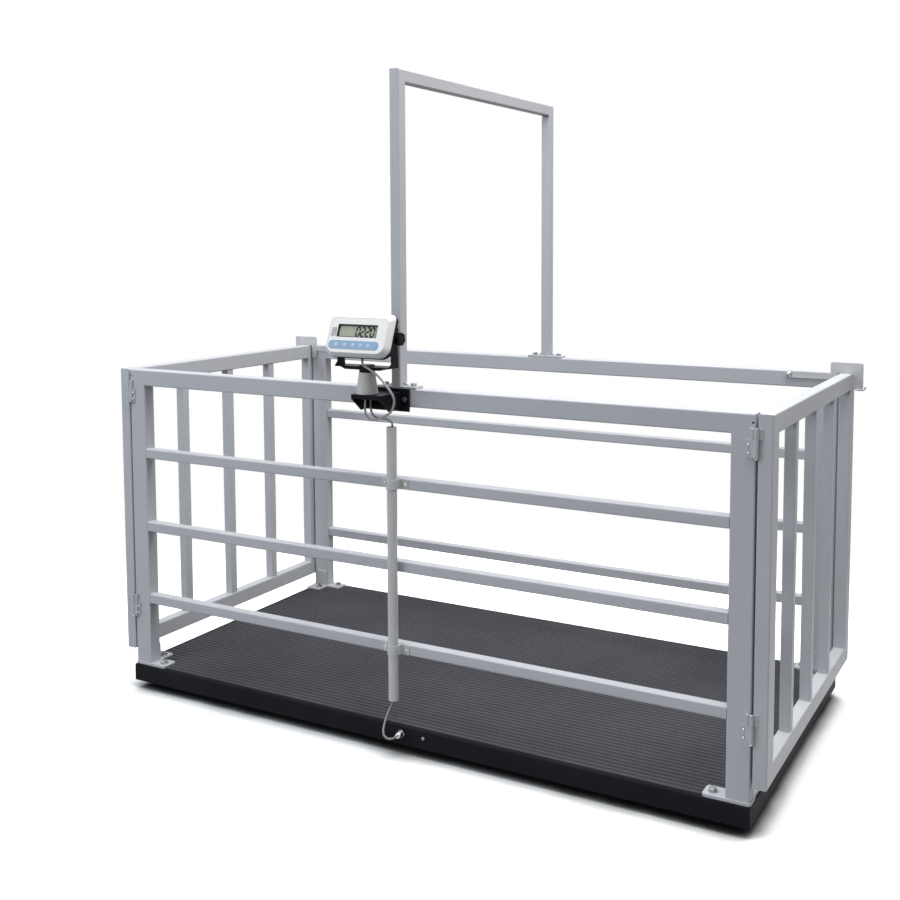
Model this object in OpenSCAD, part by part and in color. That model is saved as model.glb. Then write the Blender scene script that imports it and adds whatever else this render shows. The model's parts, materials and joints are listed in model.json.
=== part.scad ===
// Livestock weighing crate: a low platform scale carrying two tube side panels,
// a swinging gate at each end, an arch over the middle and a tilting weight indicator.
// X runs along the crate, +Y points to its back side, +Z is up and the floor is at zero.
// Sizes are in millimetres. The origin lies on the floor under the middle of the bounding box.

/* [Platform] */
// Length of the platform
platform_l = 2000; // [1700:10:2600]
// Width of the platform
platform_w = 980; // [860:10:1300]
// Floor clearance under the skirt
floor_gap = 26; // [22:1:60]
// Height of the skirt of the deck tray
skirt_h = 54; // [52:1:90]
// Thickness of the folded deck sheet
sheet_t = 4; // [2:0.5:5]
// Outer radius of the folded deck edges
fold_r = 5; // [5:0.5:7]
// Thickness of the rubber mat under its ribs
mat_t = 3; // [2:0.5:6]
// Height of the mat ribs
rib_h = 1.5; // [0.5:0.5:3]
// Spacing of the mat ribs
rib_pitch = 18; // [12:1:40]
// Width of a mat rib at its foot
rib_w = 9; // [5:0.5:10]
// Margin between the edge of the mat and the edge of the deck
mat_margin = 8; // [8:1:30]
// Bare edge of the deck beyond each end of the mat
mat_end_margin = 20; // [8:1:40]
// Side of the square tubes under the deck
under_tube = 40; // [25:1:44]

/* [Load cells and feet] */
// Length of a load cell beam
cell_l = 130; // [110:1:170]
// Width and height of a load cell beam
cell_s = 32; // [28:1:34]
// Height of the spacer plate over the fixed end of a load cell
spacer_h = 10; // [6:1:12]
// Distance of a foot from the end of the platform
foot_inset_x = 85; // [70:1:160]
// Distance of a foot from the side of the platform
foot_inset_y = 110; // [100:1:140]
// Diameter of a foot pad
pad_d = 60; // [40:1:80]
// Diameter of the threaded foot stud
stud_d = 16; // [10:1:18]

/* [Side panels] */
// Height of the panels over the deck
panel_h = 946; // [880:1:1400]
// Setback of the panel ends from the ends of the platform
panel_inset_x = 4; // [4:1:30]
// Setback of the panel faces from the sides of the platform
panel_inset_y = 7; // [7:1:30]
// Width of a post
post_w = 60; // [50:1:80]
// Depth of the posts and the top rails
post_d = 40; // [36:1:60]
// Height of a top rail
top_rail_h = 50; // [46:1:70]
// Height of a middle rail
mid_rail_h = 31; // [25:1:40]
// Depth of a middle rail
mid_rail_d = 30; // [20:1:36]
// Distance from the panel top down to the first middle rail
rail_drop = 248; // [180:1:260]
// Spacing of the middle rails
rail_pitch = 232.5; // [150:0.5:240]
// Number of middle rails
rail_n = 3; // [2:1:3]
// Wall of the tubes
tube_t = 2.5; // [1.5:0.5:3]
// Outer corner radius of the tubes
tube_r = 4; // [3.5:0.5:6]
// Thickness of the post foot plates
foot_t = 8; // [5:1:12]
// Length of a foot plate tab beyond its post
foot_tab = 58; // [45:1:80]
// Height of the upright leaf of a foot plate
foot_leaf_h = 55; // [30:1:90]

/* [Gates] */
// Gap between the panel ends and the gates
gate_gap = 5; // [4:0.5:8]
// Thickness of the gate frame
gate_t = 36; // [30:1:50]
// Height of the gate bottom over the deck
gate_lift = 46; // [30:1:80]
// Width of a gate stile
stile_w = 58; // [45:1:70]
// Height of the gate top and bottom rails
gate_rail_h = 50; // [40:1:65]
// Side of the square gate bars
bar_s = 30; // [20:1:30]
// Spacing of the gate bars
bar_pitch = 220; // [140:1:240]
// Number of gate bars
bar_n = 3; // [2:1:3]
// Offset of the middle bar from the centre of the gate
bar_shift = -12; // [-40:1:40]

/* [Hinges and latches] */
// Height of a hinge
hinge_h = 70; // [60:1:100]
// Outer radius of a hinge knuckle
knuckle_r = 6; // [5:0.25:7]
// Radius of a hinge pin
pin_r = 3.5; // [2.5:0.25:4]
// Height of the knuckle on the gate
gate_knuckle_h = 27; // [20:1:35]
// Distance from the panel top down to the upper hinge
hinge_top_drop = 34; // [25:1:80]
// Distance from the gate bottom up to the lower hinge
hinge_low_rise = 112; // [60:1:200]
// Thickness of a latch plate
latch_t = 6; // [4:0.5:8]
// Distance of the latch pivot from the panel end
latch_pivot_inset = 150; // [120:1:220]
// Height of the latch bar
latch_bar_h = 21; // [17:1:24]
// Rise of the latch hook over the gate
hook_rise = 33; // [20:1:50]
// Drop of the latch hook below the gate top
hook_drop = 47; // [36:1:50]
// Width of the inner leg of the hook
hook_in_w = 20; // [14:1:24]
// Width of the outer leg of the hook
hook_out_w = 29; // [20:1:40]
// Radius of the latch pivot
latch_pin_r = 6; // [4:0.5:7]

/* [Arch] */
// Height of the arch over the panel tops
arch_h = 860; // [500:10:1100]
// Width of the arch tube along the crate
arch_w = 30; // [25:1:40]
// Depth of the arch posts
arch_d = 36; // [30:1:40]
// Height of the arch beam
arch_beam_h = 35; // [30:1:45]
// Length of an arch foot plate
arch_foot_l = 128; // [110:1:160]
// Thickness of an arch foot plate
arch_foot_t = 6; // [4:1:10]

/* [Indicator] */
// Tilt of the indicator back from upright, in degrees
tilt = 20.5; // [10:0.5:30]
// Distance of the indicator from the middle of the crate
ind_x = -46; // [-80:1:-20]
// Reach of the tilt axis in front of the panel face
ind_reach = 70; // [64:1:90]
// Height of the tilt axis over the panel tops
ind_rise = 142; // [138:1:180]
// Width of the indicator housing
ind_w = 206; // [200:1:240]
// Height of the indicator housing
ind_h = 121; // [116:1:128]
// Distance of the indicator face in front of the tilt axis
face_d = 46; // [42:1:56]
// Distance of the back of the front shell in front of the tilt axis
seam_d = 24; // [20:0.5:26]
// Depth of the rear shell behind the tilt axis
rear_d = 18; // [14:1:24]
// Width of the rear shell between the yoke arms
rear_w = 170; // [150:1:176]
// Wall of the indicator shells
shell_t = 3; // [2:0.5:4]
// Width of the display window
lcd_w = 126; // [100:1:140]
// Height of the display window
lcd_h = 35; // [25:1:40]
// Length of the keypad
keypad_w = 160; // [120:1:162]
// Height of the keypad
keypad_h = 23; // [16:1:26]
// Radius of a tilt knob
knob_r = 17.5; // [14:0.5:17.5]
// Thickness of the bracket sheet
bracket_t = 3; // [2:0.5:4]

/* [Cable run] */
// Diameter of the signal cable
cable_d = 6; // [4:0.5:7]
// Diameter of the conduit
conduit_d = 28; // [24:1:34]
// Distance of the conduit from the middle of the crate
conduit_x = -5; // [-40:1:10]

/* [Hidden] */
$fn = 48;
// Overrun of every cut
over = 1;
// Gap left at a weld between two members of one piece
weld_gap = 0.3;
// Radial clearance of a running fit
run_fit = 0.05;
// Radial clearance of a bolt in its hole
bolt_fit = 0.4;
// Free gap between a turning piece and its neighbour
free_gap = 0.4;

// Overall places
deck_top = floor_gap + skirt_h;
deck_under = deck_top - sheet_t;
panel_top = deck_top + panel_h;
panel_l = platform_l - 2 * panel_inset_x;
panel_w = platform_w - 2 * panel_inset_y;
panel_x = panel_l / 2;
panel_y = panel_w / 2;
post_bottom = deck_top + foot_t;
post_l = panel_top - post_bottom;
gate_x = panel_x + gate_gap;
gate_bottom = deck_top + gate_lift;
gate_h = panel_top - gate_bottom;

// Indicator face: the flat panel inside its bevelled rim, centred a little low
face_drop = 7;
shell_drop = 3.5;
bevel_d = 14;
bevel_side = 11;
bevel_end = 11.5;
face_w = ind_w - 2 * bevel_side;
face_h = ind_h - 2 * bevel_end;
face_r = 12;
face_chin_r = 22;
rim_r = 16;
rim_chin_r = 30;
ind_y = -panel_y - ind_reach;
ind_z = panel_top + ind_rise;
front_reach = face_d * cos(tilt) + (face_h / 2 + face_drop) * sin(tilt) - ind_y;
// Shift that brings the middle of the bounding box over the origin
centre_y = round((front_reach - platform_w / 2) / 2);

// Mat
mat_l = platform_l - 2 * mat_end_margin;
mat_w = platform_w - 2 * mat_margin;
rib_slope = 1;
rib_n = floor((mat_w - rib_w) / rib_pitch);
rib_edge = (mat_w - rib_n * rib_pitch - rib_w) / 2;
mat_gap = 1.5;

// Foot plates and deck bolts
foot_lip = 3;
foot_ledge = 8;
foot_corner_r = 8;
foot_leaf_t = 6;
foot_leaf_inset = 4;
bolt_d = 12;
bolt_head_d = 19;
bolt_head_h = 8;
washer_d = 25;
washer_t = 2.5;
nut_h = 7;
x_tab_bolt = 36;
y_tab_bolt = 32;
y_tab_bolt_side = 43;

// Under frame
under_y = 280;
under_cross_x = 600;
under_end_gap = 5;

// Load cells
foot_x = platform_l / 2 - foot_inset_x;
foot_y = platform_w / 2 - foot_inset_y;
cell_nose = 18;
cell_top = deck_under - spacer_h;
cell_bottom = cell_top - cell_s;
cell_x = foot_x + cell_nose - cell_l;
spacer_l = 60;
cell_bolt_edge = 14;
cell_bolt_pitch = 30;
cell_bolt_d = 10;
cell_pocket_d = 18;
cell_pocket_pitch = 14;
pad_t = 8;
pad_boss_d = 32;
pad_boss_h = 6;
pad_socket = 5;
jam_nut_d = 27;

// Junction box and glands
jbox_l = 110;
jbox_w = 76;
jbox_h = 34;
jbox_t = 3;
jbox_gap = 18;
jbox_lid_t = 4;
gland_x = 16;
gland_drop = 19;
gland_thread_d = 16;
gland_hex_d = 23;
gland_hex_h = 7;
gland_cap_l = 20;
gland_cap_d = 19;
gland_mouth_d = 12;
gland_nut_h = 5;
gland_tail = 4;
cable_fit = 0.3;
gland_z = deck_top - gland_drop;
jbox_y = sheet_t + jbox_gap - platform_w / 2;
skirt_screw_x = 84;
skirt_screw_drop = 22;
screw_d = 6;
screw_head_d = 11;
screw_head_h = 4;

// Hinges
hinge_x = panel_x + gate_gap / 2;
knuckle_gap = 0.5;
hinge_y = -panel_y - knuckle_r - knuckle_gap;
leaf_t = 3;
leaf_w = 21;
leaf_h_share = 0.62;
leaf_block_t = 8;
leaf_block_w = 12;
gate_tab_w = 14;
pin_head_r = 5;
pin_head_h = 3;
leaf_bolt_inset = 16;
leaf_bolt_shares = [0.17, 0.45];
leaf_bolt_d = 6;
leaf_bolt_head_d = 8;
leaf_bolt_head_h = 5;
post_hole_d = 5;
post_hole_inset = 7;
post_hole_drop = 21;

// Latches
latch_x = panel_x - latch_pivot_inset;
latch_pivot_drop = 11;
latch_z = panel_top - latch_pivot_drop;
latch_side_gap = 0.5;
latch_y = panel_y - post_d - latch_side_gap - latch_t;
notch_in_gap = 8;
notch_out_gap = 4;
notch_top_gap = 0.6;
latch_head_r = 10;
latch_head_h = 7;
lip_l = 31;
lip_t = 3.5;
lip_d = 16;
lip_r = 9;
lip_up = 4;
lip_bite = 1;
hook_r = 6;

// Arch
arch_bolt_x = 45;
arch_gusset = 20;
arch_gusset_h = 11;
arch_gusset_t = 5;

// Indicator stand
wall_x0 = -100;
wall_x1 = 45;
wall_h = 62;
wall_t = 6;
wall_bolt_d = 8;
wall_bolt_head_d = 14;
wall_bolt_head_h = 6;
wall_bolt_left = 8.2;
wall_bolt_right = 12;
wall_bolt_drop = 28;
shelf_x0 = -76;
shelf_x1 = 17;
shelf_drop = 9;
shelf_d = 103;
shelf_lip_h = 12;
web_toe = 43;
web_h = 48;
shelf_hole_d = 44;
neck_r0 = 30;
neck_r1 = 21.5;
neck_t = 3;
neck_h = 58;
collar_r = 21;
collar_up = 3;
yoke_drop = 76;
yoke_t = 3;
yoke_front = 24;
yoke_back = 20;
yoke_rib_h = 6;
yoke_rib_w = 140;
yoke_rib_slant = 14;
arm_r = 13.5;
arm_knee = 66;
shelf_top = panel_top - shelf_drop;

// Indicator insides
lcd_shift = -2;
lcd_rise = 5;
lcd_recess = 1.2;
lcd_t = 5;
keypad_shift = -6;
keypad_drop = 34;
keypad_sink = 0.8;
keypad_proud = 0.4;
board_w = 150;
board_h = 84;
board_t = 1.6;
board_d = 30;
board_post_r = 3.5;
rear_h = 96;
rear_r = 10;
rear_chamfer = 16;
flange_t = 9;
flange_inset = 1;
boss_r = 9;
boss_l = 14;
knob_stud_r = 4;
knob_l = 15;
knob_neck_l = 9;
knob_neck_r = 10;
knob_hub_share = 0.77;
knob_lobe_share = 0.26;
knob_lobe_n = 6;
ind_gland_r0 = 8;
ind_gland_r1 = 5;
ind_gland_l = 8;

// Conduit and clips
conduit_t = 2;
conduit_rise = 75;
conduit_drop = 105;
clip_t = 2;
clip_h = 27;
clip_ear = 26;
clip_screw_share = 0.65;
clip_fit = 0.1;
conduit_y = -panel_y - clip_t - clip_fit - conduit_d / 2;
clip_screw_d = 4;
clip_screw_head_d = 9;
clip_screw_head_h = 3;

// Route of the signal cable, from the indicator down through the conduit into the platform
cable_steps = 2;
cable_sides = 8;
cable_route = [
    [-46, -572, 1118], [-46, -574, 1112], [-43, -578, 1102], [-35, -582, 1095], [-20, -587, 1090],
    [12, -595, 1076], [47, -601, 1049], [70, -599, 1015], [56, -591, 980], [4, -578, 954],
    [-18, -573, 950], [-32, -570, 953], [-41, -568, 963], [-43, -568, 977], [-41, -569, 1014],
    [-41, -569, 1026], [-42, -564, 1037], [-44, -553, 1042], [-46, -542, 1037], [-47, -537, 1026],
    [-47, -537, 1014], [-45, -539, 986], [-40, -544, 968], [-26, -547, 954], [-7, -542, 950],
    [6, -528, 945], [5, -511, 934], [-2, -501, 917], [-5, -499, 898], [-5, -499, 165],
    [-8, -503, 145], [-13, -516, 123], [-14, -530, 101], [-12, -541, 84], [-6, -546, 71],
    [5, -543, 63], [13, -533, 61], [16, -519, 61], [16, -506, 61], [16, -450, 61]];
cable_last = len(cable_route) - 1;

// Frames and mirrors

// The crate's own frame: its middle line is set back from the origin
module crate() {
    translate([0, centre_y, 0]) children();
}

module left(on = true) {
    if (on) mirror([1, 0, 0]) children();
    else children();
}

module back(on = true) {
    if (on) mirror([0, 1, 0]) children();
    else children();
}

module both_ends() {
    for (flip = [false, true]) left(flip) children();
}

module four_corners() {
    for (flip = [false, true]) back(flip) both_ends() children();
}

// Indicator face frame: X across, Y up the face, Z out of it, with zero on the tilt axis
module face_frame() {
    translate([ind_x, ind_y, ind_z]) rotate([90 - tilt, 0, 0]) children();
}

// A direction along -Y, with zero on the given point
module forward(at) {
    translate(at) rotate([90, 0, 0]) children();
}

// Shared shapes

// Rectangle with round corners, from its lower left corner
module round_rect(w, d, r) {
    translate([r, 0]) square([w - 2 * r, d]);
    translate([0, r]) square([w, d - 2 * r]);
    for (x = [r, w - r], y = [r, d - r]) translate([x, y]) circle(r = r);
}

// Rectangle with round corners about its middle
module round_plate(w, h, r) {
    translate([-w / 2, -h / 2]) round_rect(w, h, r);
}

// Section of a rolled box tube
module tube_section(w, d) {
    difference() {
        round_rect(w, d, tube_r);
        translate([tube_t, tube_t]) round_rect(w - 2 * tube_t, d - 2 * tube_t, tube_r - tube_t);
    }
}

// Wedge beyond a mitre that runs from the outer edge to the inner edge of a member
module mitre_wedge(w, d, run) {
    slope = run / w;
    translate([0, d + over, 0]) rotate([90, 0, 0]) linear_extrude(d + 2 * over)
        polygon([[-slope * over, over], [run + slope * over, -w - over],
                 [-run - over, -w - over], [-run - over, over]]);
}

// Box tube along +X with its outer edge on z = 0, mitred at each end by the given run
module member(l, w, d, run0 = 0, run1 = 0) {
    difference() {
        rotate([0, 90, 0]) linear_extrude(l) tube_section(w, d);
        if (run0 > 0) mitre_wedge(w, d, run0);
        if (run1 > 0) translate([l, 0, 0]) mirror([1, 0, 0]) mitre_wedge(w, d, run1);
    }
}

// The same box tube standing along +Z with its outer edge on x = 0
module upright(l, w, d, run0 = 0, run1 = 0) {
    rotate([0, -90, 0]) member(l, w, d, run0, run1);
}

// Hexagon bolt along +Z with its seat on z = 0: head above, shank below
module hex_bolt(d, head_d, head_h, shank_l) {
    cylinder(d = head_d, h = head_h, $fn = 6);
    translate([0, 0, -shank_l]) cylinder(d = d, h = shank_l + over);
}

// Button screw along +Z with its seat on z = 0
module button_screw(d, head_d, head_h, shank_l) {
    cap_r = (head_d * head_d / 4 + head_h * head_h) / (2 * head_h);
    intersection() {
        translate([0, 0, head_h - cap_r]) sphere(r = cap_r);
        cylinder(d = head_d, h = head_h + over);
    }
    translate([0, 0, -shank_l]) cylinder(d = d, h = shank_l + head_h / 2);
}

module bolt_hole(d, l) {
    translate([0, 0, -l]) cylinder(d = d + 2 * bolt_fit, h = 2 * l);
}

// Platform

module deck_outline(span) {
    translate([-span / 2, 0]) square([span, skirt_h - fold_r]);
    translate([fold_r - span / 2, 0]) square([span - 2 * fold_r, skirt_h]);
    for (side = [-1, 1]) translate([side * (span / 2 - fold_r), skirt_h - fold_r]) circle(r = fold_r);
}

module deck_tray() {
    color("#2a2a2e") crate() difference() {
        translate([0, 0, floor_gap]) difference() {
            intersection() {
                translate([0, platform_w / 2, 0]) rotate([90, 0, 0])
                    linear_extrude(platform_w) deck_outline(platform_l);
                translate([-platform_l / 2, 0, 0]) rotate([90, 0, 90])
                    linear_extrude(platform_l) deck_outline(platform_w);
            }
            translate([sheet_t - platform_l / 2, sheet_t - platform_w / 2, -over])
                cube([platform_l - 2 * sheet_t, platform_w - 2 * sheet_t, skirt_h - sheet_t + over]);
        }
        four_corners() deck_bolt_places() bolt_hole(bolt_d, foot_t + sheet_t + over);
        forward([gland_x, -platform_w / 2, gland_z]) bolt_hole(gland_thread_d, sheet_t + over);
        forward([skirt_screw_x, -platform_w / 2, deck_top - skirt_screw_drop])
            bolt_hole(screw_d, sheet_t + over);
    }
}

// Plan of one post foot plate, at the right back corner
module foot_plan(grow = 0) {
    translate([panel_x - post_w - foot_tab - grow, panel_y - post_d - foot_ledge - grow])
        round_rect(post_w + foot_tab + foot_lip + 2 * grow,
                   post_d + foot_ledge + foot_lip + 2 * grow, foot_corner_r + grow);
    translate([panel_x - post_w - grow, panel_y - post_d - foot_tab - grow])
        round_rect(post_w + 2 * grow, post_d + foot_tab + foot_lip + 2 * grow, foot_corner_r + grow);
}

module deck_mat() {
    color("#4b4b50") crate() difference() {
        translate([-mat_l / 2, -mat_w / 2, deck_top]) rotate([90, 0, 90]) linear_extrude(mat_l)
            polygon(concat([[0, 0], [0, mat_t]], [for (i = [0 : rib_n], p = rib_points(i)) p],
                           [[mat_w, mat_t], [mat_w, 0]]));
        four_corners() translate([0, 0, deck_top - over])
            linear_extrude(mat_t + rib_h + 2 * over) foot_plan(mat_gap);
    }
}

function rib_points(i) =
    let (y = rib_edge + i * rib_pitch)
    [[y, mat_t], [y + rib_slope, mat_t + rib_h], [y + rib_w - rib_slope, mat_t + rib_h], [y + rib_w, mat_t]];

// Square tube under the deck sheet, along +X from its start
module under_member(l) {
    translate([0, -under_tube / 2, deck_under]) member(l, under_tube, under_tube);
}

module under_frame() {
    long_l = platform_l - 2 * sheet_t - 2 * under_end_gap;
    rung_l = 2 * under_y - under_tube - 2 * weld_gap;
    stub_l = platform_w / 2 - sheet_t - under_y - under_tube / 2 - 2 * weld_gap;
    color("#3a3a3e") crate() {
        for (side = [-1, 1]) translate([-long_l / 2, side * under_y, 0]) under_member(long_l);
        for (x = [-under_cross_x, 0, under_cross_x])
            translate([x, -rung_l / 2, 0]) rotate([0, 0, 90]) under_member(rung_l);
        four_corners() translate([under_cross_x, under_y + under_tube / 2 + weld_gap, 0])
            rotate([0, 0, 90]) under_member(stub_l);
        four_corners() difference() {
            translate([cell_x, foot_y - cell_s / 2, cell_top]) cube([spacer_l, cell_s, spacer_h]);
            cell_bolt_places() bolt_hole(cell_bolt_d, cell_s);
        }
    }
}

module cell_bolt_places() {
    for (i = [0, 1])
        translate([cell_x + cell_bolt_edge + i * cell_bolt_pitch, foot_y, cell_top]) children();
}

module load_cells() {
    color("#b8bcc2") crate() four_corners() difference() {
        translate([cell_x, foot_y - cell_s / 2, cell_bottom]) cube([cell_l, cell_s, cell_s]);
        cell_bolt_places() bolt_hole(cell_bolt_d, cell_s + over);
        translate([foot_x, foot_y, cell_bottom - over])
            cylinder(d = stud_d + 2 * run_fit, h = cell_s + 2 * over);
        for (side = [-1, 1])
            translate([cell_x + (spacer_l + cell_l - 2 * cell_nose) / 2 + side * cell_pocket_pitch / 2,
                       foot_y + cell_s / 2 + over, (cell_top + cell_bottom) / 2])
                rotate([90, 0, 0]) cylinder(d = cell_pocket_d, h = cell_s + 2 * over);
    }
}

module load_cell_bolts() {
    color("#8c9096") crate() four_corners() cell_bolt_places()
        translate([0, 0, -cell_s]) mirror([0, 0, 1])
            hex_bolt(cell_bolt_d, bolt_head_d, bolt_head_h, cell_s + spacer_h);
}

module foot_studs() {
    color("#9a9ea4") crate() four_corners() translate([foot_x, foot_y, 0]) {
        translate([0, 0, pad_t + pad_boss_h - pad_socket])
            cylinder(d = stud_d, h = cell_top - pad_t - pad_boss_h + pad_socket);
        translate([0, 0, cell_bottom - nut_h]) cylinder(d = jam_nut_d, h = nut_h, $fn = 6);
    }
}

module foot_pads() {
    color("#26262a") crate() four_corners() translate([foot_x, foot_y, 0]) difference() {
        union() {
            cylinder(d = pad_d, h = pad_t);
            cylinder(d = pad_boss_d, h = pad_t + pad_boss_h);
        }
        translate([0, 0, pad_t + pad_boss_h - pad_socket])
            cylinder(d = stud_d + 2 * run_fit, h = pad_socket + over);
    }
}

// Cable entry of the platform

module junction_box() {
    color("#6f747a") crate() difference() {
        translate([gland_x - jbox_l / 2, jbox_y, deck_under - jbox_h]) cube([jbox_l, jbox_w, jbox_h]);
        translate([gland_x - jbox_l / 2 + jbox_t, jbox_y + jbox_t, deck_under - jbox_h - over])
            cube([jbox_l - 2 * jbox_t, jbox_w - 2 * jbox_t, jbox_h - jbox_t + over]);
        forward([gland_x, jbox_y, gland_z]) bolt_hole(cable_d, jbox_t + over);
    }
}

module junction_box_lid() {
    color("#7b8086") crate()
        translate([gland_x - jbox_l / 2, jbox_y, deck_under - jbox_h - jbox_lid_t])
            cube([jbox_l, jbox_w, jbox_lid_t]);
}

module skirt_gland() {
    bore = cable_d + 2 * cable_fit;
    color("#c9ccd0") crate() forward([gland_x, -platform_w / 2, gland_z]) difference() {
        union() {
            cylinder(d = gland_hex_d, h = gland_hex_h, $fn = 6);
            rotate_extrude() polygon([[0, 0], [gland_cap_d / 2, 0], [gland_cap_d / 2, gland_cap_l],
                                      [gland_mouth_d / 2, gland_hex_h + gland_cap_l],
                                      [0, gland_hex_h + gland_cap_l]]);
            translate([0, 0, -sheet_t - gland_nut_h - gland_tail])
                cylinder(d = gland_thread_d, h = sheet_t + gland_nut_h + gland_tail + over);
            translate([0, 0, -sheet_t - gland_nut_h]) cylinder(d = gland_hex_d, h = gland_nut_h, $fn = 6);
        }
        translate([0, 0, -sheet_t - gland_nut_h - gland_tail - over])
            cylinder(d = bore, h = sheet_t + gland_nut_h + gland_tail + gland_hex_h + gland_cap_l + 2 * over);
    }
}

module skirt_screw() {
    color("#d0d2d4") crate() forward([skirt_screw_x, -platform_w / 2, deck_top - skirt_screw_drop])
        button_screw(screw_d, screw_head_d, screw_head_h, sheet_t + nut_h);
}

// Side panels

module post() {
    translate([-panel_x, -panel_y, post_bottom]) upright(post_l, post_w, post_d, 0, top_rail_h);
}

module top_rail() {
    translate([-panel_x, -panel_y, panel_top]) member(panel_l, top_rail_h, post_d, post_w, post_w);
}

module mid_rails() {
    for (i = [0 : rail_n - 1])
        translate([post_w - panel_x, -panel_y, panel_top - rail_drop - i * rail_pitch])
            member(panel_l - 2 * post_w, mid_rail_h, mid_rail_d);
}

// Post that carries a gate: drilled for its hinges, with one spare hole near the top
module hinge_post() {
    difference() {
        post();
        left() hinge_heights() leaf_bolt_places() bolt_hole(leaf_bolt_d, leaf_t + tube_t + over);
        forward([post_hole_inset - panel_x, -panel_y, panel_top - post_hole_drop])
            bolt_hole(post_hole_d, tube_t + over);
    }
}

module front_left_post() {
    color("#a2a7af") crate() hinge_post();
}

module front_right_post() {
    color("#a2a7af") crate() left() hinge_post();
}

module front_top_rail() {
    color("#a2a7af") crate() difference() {
        top_rail();
        wall_bolt_places() bolt_hole(wall_bolt_d, wall_t + tube_t + over);
        arch_bolt_places() bolt_hole(bolt_d, arch_foot_t + tube_t + over);
    }
}

module front_mid_rails() {
    color("#a2a7af") crate() difference() {
        mid_rails();
        clip_screw_places() bolt_hole(clip_screw_d, clip_t + tube_t + over);
    }
}

module back_left_post() {
    color("#a2a7af") crate() back() post();
}

module back_right_post() {
    color("#a2a7af") crate() back() left() post();
}

module back_top_rail() {
    color("#a2a7af") crate() difference() {
        back() top_rail();
        back() arch_bolt_places() bolt_hole(bolt_d, arch_foot_t + tube_t + over);
        both_ends() latch_pivot() bolt_hole(2 * latch_pin_r, latch_t + latch_side_gap + tube_t + over);
    }
}

module back_mid_rails() {
    color("#a2a7af") crate() back() mid_rails();
}

// Both bolts of one foot plate, at the right back corner, on the top of the plate
module deck_bolt_places() {
    translate([panel_x - post_w - x_tab_bolt, panel_y - post_d / 2, post_bottom]) children();
    translate([panel_x - y_tab_bolt_side, panel_y - post_d - y_tab_bolt, post_bottom]) children();
}

module post_foot_plates() {
    leaf_w = post_w - 2 * foot_leaf_inset;
    color("#a2a7af") crate() four_corners() difference() {
        union() {
            translate([0, 0, deck_top]) linear_extrude(foot_t) foot_plan();
            translate([panel_x - post_w + foot_leaf_inset, panel_y - post_d, deck_top])
                rotate([90, 0, 0]) linear_extrude(foot_leaf_t)
                    round_rect(leaf_w, foot_t + foot_leaf_h, foot_corner_r);
        }
        deck_bolt_places() bolt_hole(bolt_d, foot_t + over);
    }
}

module deck_bolts() {
    color("#c4c7ca") crate() four_corners() deck_bolt_places() {
        cylinder(d = washer_d, h = washer_t);
        translate([0, 0, washer_t])
            hex_bolt(bolt_d, bolt_head_d, bolt_head_h, washer_t + foot_t + sheet_t + nut_h);
        translate([0, 0, -foot_t - sheet_t - nut_h]) cylinder(d = bolt_head_d, h = nut_h, $fn = 6);
    }
}

// Arch

module arch_post() {
    translate([-arch_w / 2, -panel_y, 0]) translate([arch_w, 0, panel_top + arch_foot_t])
        rotate([0, 0, 90]) upright(arch_h - arch_foot_t, arch_d, arch_w, 0, arch_beam_h);
}

module arch_front_post() {
    color("#a2a7af") crate() arch_post();
}

module arch_back_post() {
    color("#a2a7af") crate() back() arch_post();
}

module arch_beam() {
    color("#a2a7af") crate() translate([arch_w / 2, -panel_y, panel_top + arch_h])
        rotate([0, 0, 90]) member(panel_w, arch_beam_h, arch_w, arch_d, arch_d);
}

module arch_bolt_places() {
    for (side = [-1, 1])
        translate([side * arch_bolt_x, post_d / 2 - panel_y, panel_top + arch_foot_t]) children();
}

module arch_foot() {
    difference() {
        translate([0, post_d / 2 - panel_y, panel_top])
            linear_extrude(arch_foot_t) round_plate(arch_foot_l, post_d, tube_r);
        arch_bolt_places() bolt_hole(bolt_d, arch_foot_t + over);
    }
    both_ends() translate([arch_w / 2, (arch_d + arch_gusset_t) / 2 - panel_y, panel_top + arch_foot_t])
        rotate([90, 0, 0]) linear_extrude(arch_gusset_t)
            polygon([[0, 0], [arch_gusset, 0], [0, arch_gusset_h]]);
}

module arch_foot_plates() {
    color("#a2a7af") crate() for (flip = [false, true]) back(flip) arch_foot();
}

module arch_bolts() {
    color("#c4c7ca") crate() for (flip = [false, true]) back(flip) arch_bolt_places()
        hex_bolt(bolt_d, bolt_head_d, bolt_head_h, arch_foot_t + tube_t + nut_h);
}

// Gates, drawn for the right end

module gate_rail() {
    translate([gate_x + gate_t, -panel_y, panel_top]) rotate([0, 0, 90])
        member(panel_w, gate_rail_h, gate_t, stile_w, stile_w);
}

module gate_bottom_rail() {
    translate([0, 0, gate_bottom + panel_top]) mirror([0, 0, 1]) gate_rail();
}

module gate_stile() {
    translate([gate_x + gate_t, -panel_y, gate_bottom]) rotate([0, 0, 90])
        upright(gate_h, stile_w, gate_t, gate_rail_h, gate_rail_h);
}

module gate_bars() {
    for (i = [0 : bar_n - 1])
        translate([gate_x + (gate_t + bar_s) / 2,
                   bar_shift + (i - (bar_n - 1) / 2) * bar_pitch - bar_s / 2, gate_bottom + gate_rail_h])
            rotate([0, 0, 90]) upright(gate_h - 2 * gate_rail_h, bar_s, bar_s);
}

module left_gate_hinge_stile() {
    color("#a8abb0") crate() left() gate_stile();
}

module left_gate_latch_stile() {
    color("#a8abb0") crate() left() back() gate_stile();
}

module left_gate_top_rail() {
    color("#a8abb0") crate() left() gate_rail();
}

module left_gate_bottom_rail() {
    color("#a8abb0") crate() left() gate_bottom_rail();
}

module left_gate_bars() {
    color("#a8abb0") crate() left() gate_bars();
}

module right_gate_hinge_stile() {
    color("#a8abb0") crate() gate_stile();
}

module right_gate_latch_stile() {
    color("#a8abb0") crate() back() gate_stile();
}

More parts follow.
